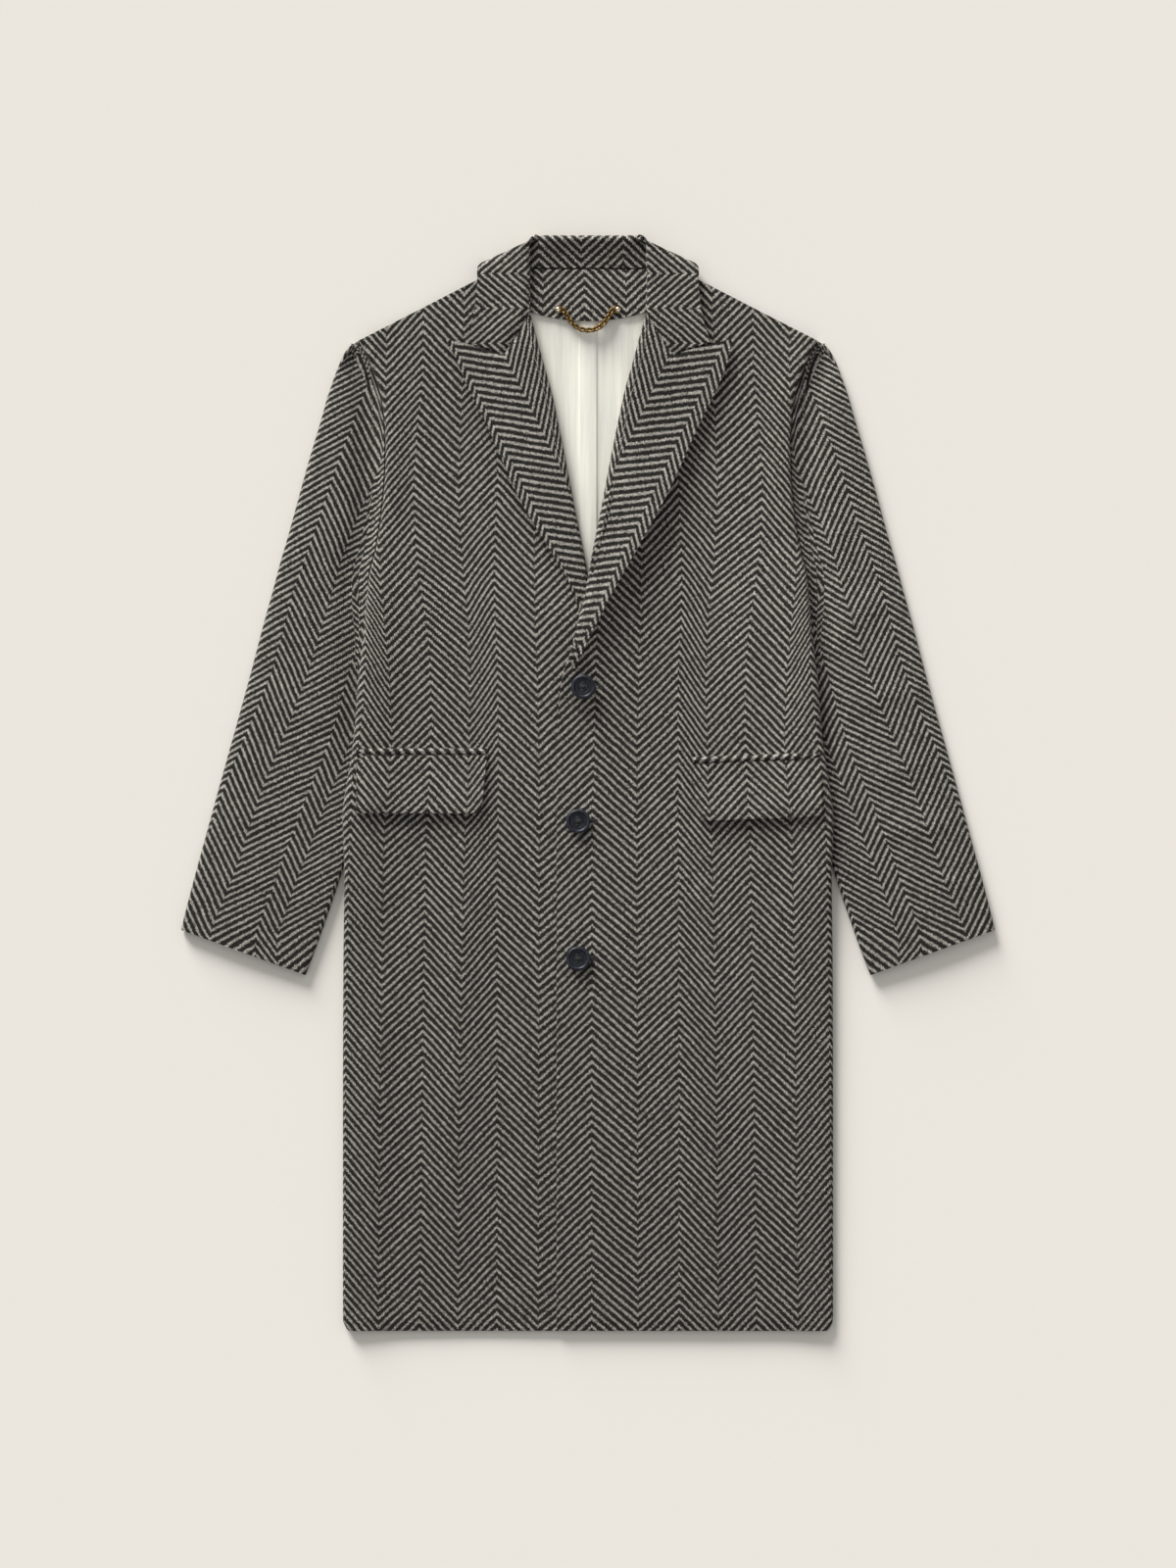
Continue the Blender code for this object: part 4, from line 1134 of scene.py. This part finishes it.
@dataclass
class Button:
    """A four-hole button sewn through the fronts, and its worked buttonhole."""

    name: str
    hole: float = 1.15
    spread: float = 2.7          # a hole's centre from the button's
    seat: float = 1.2            # how far the button stands off the cloth on its shank
    thread: float = 0.42
    eye_length: float = 31.0     # the buttonhole's length

    def __post_init__(self) -> None:
        """Finds the button's foot and its holes, round the foot."""
        self.foot = foot_of(self.name) + Vector((0, 0, self.seat))
        angles = [math.pi / 4 + number * math.pi / 2 for number in range(4)]
        self.holes = [Vector((self.spread * math.cos(angle), self.spread * math.sin(angle), 0.0)) for angle in angles]

    def body(self, horn: Material) -> Item:
        """Turns the button and drills it; returns it."""
        shape, drills = bmesh.new(), bmesh.new()
        spun(shape, ((0, 2.7), (4.8, 2.7), (5.1, 2.5), (5.5, 2.1), (5.9, 2.5), (6.2, 2.8), (7.6, 2.75), (8.2, 2.6),
                     (8.7, 3.4), (9.2, 4.15), (9.9, 4.55), (10.8, 4.6), (11.6, 4.3), (12.2, 3.6), (12.5, 2.7),
                     (12.3, 1.9), (11.7, 1.2), (10.4, 0.6), (8.5, 0.3), (0, 0.2)), self.foot, 56)
        item = finished(self.name + "_horn", shape, horn)
        for hole in self.holes:
            spun(drills, ((0, 9.0), (self.hole * 1.5, 8.9), (self.hole * 1.5, 2.9), (self.hole, 2.4),
                          (self.hole, -4.0), (0, -4.1)), self.foot + hole, 20)
        drill = finished("drill", drills, horn)
        cut = item.modifiers.new("holes", "BOOLEAN")
        cut.operation = "DIFFERENCE"
        cut.object = drill
        bpy.context.view_layer.update()
        mesh = bpy.data.meshes.new_from_object(item.evaluated_get(bpy.context.evaluated_depsgraph_get()))
        item.modifiers.clear()
        item.data = mesh
        bpy.data.objects.remove(drill)
        return hold_on(item, "coat", self.name)

    def stitches(self, twist: Material) -> Item:
        """Sews it on: crossed threads through the holes and a wound shank; returns them."""
        shape = bmesh.new()
        for pair in (0, 1):
            start, end = self.holes[pair], self.holes[pair + 2]
            along = (end - start).normalized()
            for strand in (-0.45, 0.0, 0.45):
                aside = Vector((-along.y, along.x, 0.0)) * strand
                path = []
                for step in range(11):
                    share = step / 10
                    rise = 2.0 + 1.35 * math.sin(math.pi * share) ** 0.5 + 0.25 * pair
                    path.append(self.foot + start.lerp(end, share) + aside + Vector((0, 0, rise)))
                down = Vector((0, 0, 2.2))
                tube(shape, [path[0] - down] + path + [path[-1] - down], self.thread, sides=6)
        for turn in range(4):
            tube(shape, [self.foot + Vector((2.2 * math.cos(a * math.tau / 20), 2.2 * math.sin(a * math.tau / 20),
                                             turn * 0.55 - 1.7)) for a in range(20)], 0.34, closed=True, sides=6)
        return hold_on(finished(self.name + "_thread", shape, twist), "coat")

    def buttonhole(self, twist: Material) -> Item:
        """Works the buttonhole beside the button, over and over stitches round a slit; returns it."""
        shape, rail = bmesh.new(), []
        centre = self.foot + Vector((4.2, 0.0, 0.15 - self.seat))
        half = self.eye_length / 2
        for step in range(40):
            angle = step / 40 * math.tau
            rail.append(centre + Vector((half * math.copysign(abs(math.cos(angle)) ** 0.5, math.cos(angle)),
                                         1.3 * math.copysign(abs(math.sin(angle)) ** 0.7, math.sin(angle)), 0.0)))
        tube(shape, rail, 0.5, closed=True, sides=6)
        for step in range(44):
            along = half * (step / 43 * 2 - 1)
            for edge in (-1, 1):
                start = centre + Vector((along, edge * 0.5, 0.15))
                end = centre + Vector((along + 0.15, edge * 2.2, -0.1))
                tube(shape, [start, start.lerp(end, 0.5) + Vector((0, 0, 0.42)), end], 0.27, sides=5)
        return hold_on(finished(self.name.replace("button", "buttonhole"), shape, twist), "coat")


@dataclass
class Hanger:
    """The hanging loop: a short chain of welded links between two rivets."""

    sag: float = 21.0
    half: float = 25.0
    wire: float = 0.92           # radius of a link's wire
    link: float = 2.2            # half a link's width, to its wire's centre
    stretch: float = 0.95        # how far each half of a link is drawn out
    pitch: float = 3.3

    def path(self) -> list[Vector]:
        """The chain's centre line, in even short steps."""
        low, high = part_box("hanger_chain")
        top = frame["joints"][0]["pos"][1] / MM if "pos" in frame["joints"][0] else (high.y / MM - 2.2)
        level = (low.z + high.z) / 2 / MM
        shares = [step / 400 - 1.0 for step in range(801)]
        return [Vector((self.half * share, top - self.sag * (1.0 - abs(share) ** 2.4), level)) for share in shares]

    def links(self, brass: Material) -> Item:
        """Builds the links, each turned a quarter from the last; returns them."""
        spots = self.path()
        steps = [(after, after - before) for before, after in zip(spots, spots[1:])]
        total = sum(way.length for _, way in steps)
        count = round(total / self.pitch)
        shape, run, made = bmesh.new(), 0.0, 0
        for after, way in steps:
            run += way.length
            if run < (made + 0.5) * total / count:
                continue
            along = way.normalized()
            made += 1
            new = set(shape.verts)
            upright = Matrix.Translation((self.link * MM, 0, 0)) @ Matrix.Rotation(math.pi / 2, 4, "X")
            ring = bmesh.ops.create_circle(shape, cap_ends=False, radius=self.wire * MM, segments=10, matrix=upright)
            edges = list({edge for vert in ring["verts"] for edge in vert.link_edges})
            bmesh.ops.spin(shape, geom=ring["verts"] + edges, cent=(0, 0, 0), axis=(0, 0, 1), angle=math.tau,
                           steps=20, use_merge=True)
            verts = [vert for vert in shape.verts if vert not in new]
            for vert in verts:
                vert.co.x += math.copysign(self.stretch * MM, vert.co.x) if abs(vert.co.x) > 1e-6 else 0.0
            turn = Matrix.Translation(after * MM) @ Matrix((
                (along.x, -along.y, 0, 0), (along.y, along.x, 0, 0), (0, 0, 1, 0), (0, 0, 0, 1)))
            roll = Matrix.Rotation(math.radians(38 if made % 2 else -52), 4, "X")
            bmesh.ops.transform(shape, matrix=turn @ roll, verts=verts)
        return hold_on(finished("hanger_links", shape, brass), "hanger", "hanger_chain")

    def rivets(self, brass: Material, bright: Material) -> list[Item]:
        """Builds the two rivets and the end rings on them; returns them."""
        made = []
        for side in Side:
            foot, shape, ring = foot_of("rivet_" + side.word), bmesh.new(), bmesh.new()
            spun(shape, ((0, 2.2), (0.5, 2.25), (0.8, 2.55), (1.5, 2.5), (2.3, 2.1), (2.9, 1.3), (3.1, 0.5),
                         (2.9, 0.0), (0, 0.0)), foot, 32)
            made.append(hold_on(finished("rivet_" + side.word + "_dome", shape, bright), "coat",
                                "rivet_" + side.word))
            tube(ring, [foot + Vector((-side.value * 1.6 + 3.9 * math.cos(a * math.tau / 28),
                                       2.9 * math.sin(a * math.tau / 28), 0.5)) for a in range(28)], 0.75, closed=True)
            made.append(hold_on(finished("rivet_ring_" + side.word, ring, brass), "coat"))
        return made


@dataclass
class Studio:
    """Floor, soft light and the camera straight above."""

    height: float = 1.6          # what the frame takes in from top to bottom, m
    lens: float = 200.0
    sensor: float = 36.0
    key: float = 5.7             # the soft key's strength
    softness: float = 28.0       # degrees across the key, as a big window is
    elevation: float = 17.0      # degrees above the floor
    ambient: float = 0.5

    def build(self) -> None:
        """Sets the stage."""
        scene = bpy.context.scene
        shape = bmesh.new()
        bmesh.ops.create_grid(shape, x_segments=2, y_segments=2, size=6.0)
        for vert in shape.verts:
            vert.co.z = -0.0002
        finished("paper_floor", shape, MattPaper().make())
        eye = bpy.data.cameras.new("overhead")
        eye.lens = self.lens
        eye.sensor_width = self.sensor
        eye.clip_end = 50.0
        camera = bpy.data.objects.new("overhead", eye)
        camera.location = (0.0, 0.0, self.height / 2 / (self.sensor / 2 / self.lens))
        scene.camera = camera
        lamp = bpy.data.lights.new("window", "SUN")
        lamp.energy = self.key
        lamp.angle = math.radians(self.softness)
        lamp.color = linear("#FFFEFA")[:3]
        window = bpy.data.objects.new("window", lamp)
        rise = math.radians(self.elevation)
        came = Vector((-0.42 * math.cos(rise), 0.907 * math.cos(rise), math.sin(rise)))
        window.rotation_euler = (-came).to_track_quat("-Z", "Y").to_euler()
        for item in (camera, window):
            scene.collection.objects.link(item)
        scene.world = bpy.data.worlds.new("studio")
        scene.world.use_nodes = True
        sky = scene.world.node_tree.nodes["Background"]
        sky.inputs["Color"].default_value = linear("#F6F5F3")
        sky.inputs["Strength"].default_value = self.ambient
        scene.view_settings.view_transform = "Standard"


def main() -> None:
    """Builds the stage and every piece of the overcoat."""
    logging.basicConfig(level=logging.INFO, format="%(name)s: %(message)s")
    Studio().build()
    wool, satin, horn, twist = (kind().make() for kind in (HerringboneWool, LiningSatin, PolishedHorn, TwistThread))
    chain = AgedBrass("oxidised brass chain", "#B8955A", "#3A2C18", 0.3, 0.5).make()
    rivet = AgedBrass("rubbed brass rivet", "#D9CDB4", "#7C6A4A", 0.22, 0.34).make()
    shell, hanger = Shell(), Hanger()
    made = [shell.back(wool), shell.lining(satin), shell.facing(wool)]
    for side in Side:
        made += Sleeve(side).build(wool) + [Front(side).build(wool)]
    for piece in (Lapel(Side.RIGHT, 4.5, 41.8), Lapel(Side.LEFT, 10.3, 45.2), Collar()):
        made.append(piece.build(wool))
    for pocket in (Pocket(Side.RIGHT, 36.5, 36.5, 103, 236, 59), Pocket(Side.LEFT, 27.5, 32.5, 107, 238, 58)):
        made += [pocket.jet(wool), pocket.flap(wool)]
    for name in ("button_top", "button_middle", "button_bottom"):
        button = Button(name)
        made += [button.body(horn), button.stitches(twist), button.buttonhole(twist)]
    made += [hanger.links(chain)] + hanger.rivets(chain, rivet)
    for item in made:
        log.info("%s: %d faces on %s", item.name, len(item.data.polygons), ", ".join(body_of(item)))


if __name__ == "__main__":
    main()
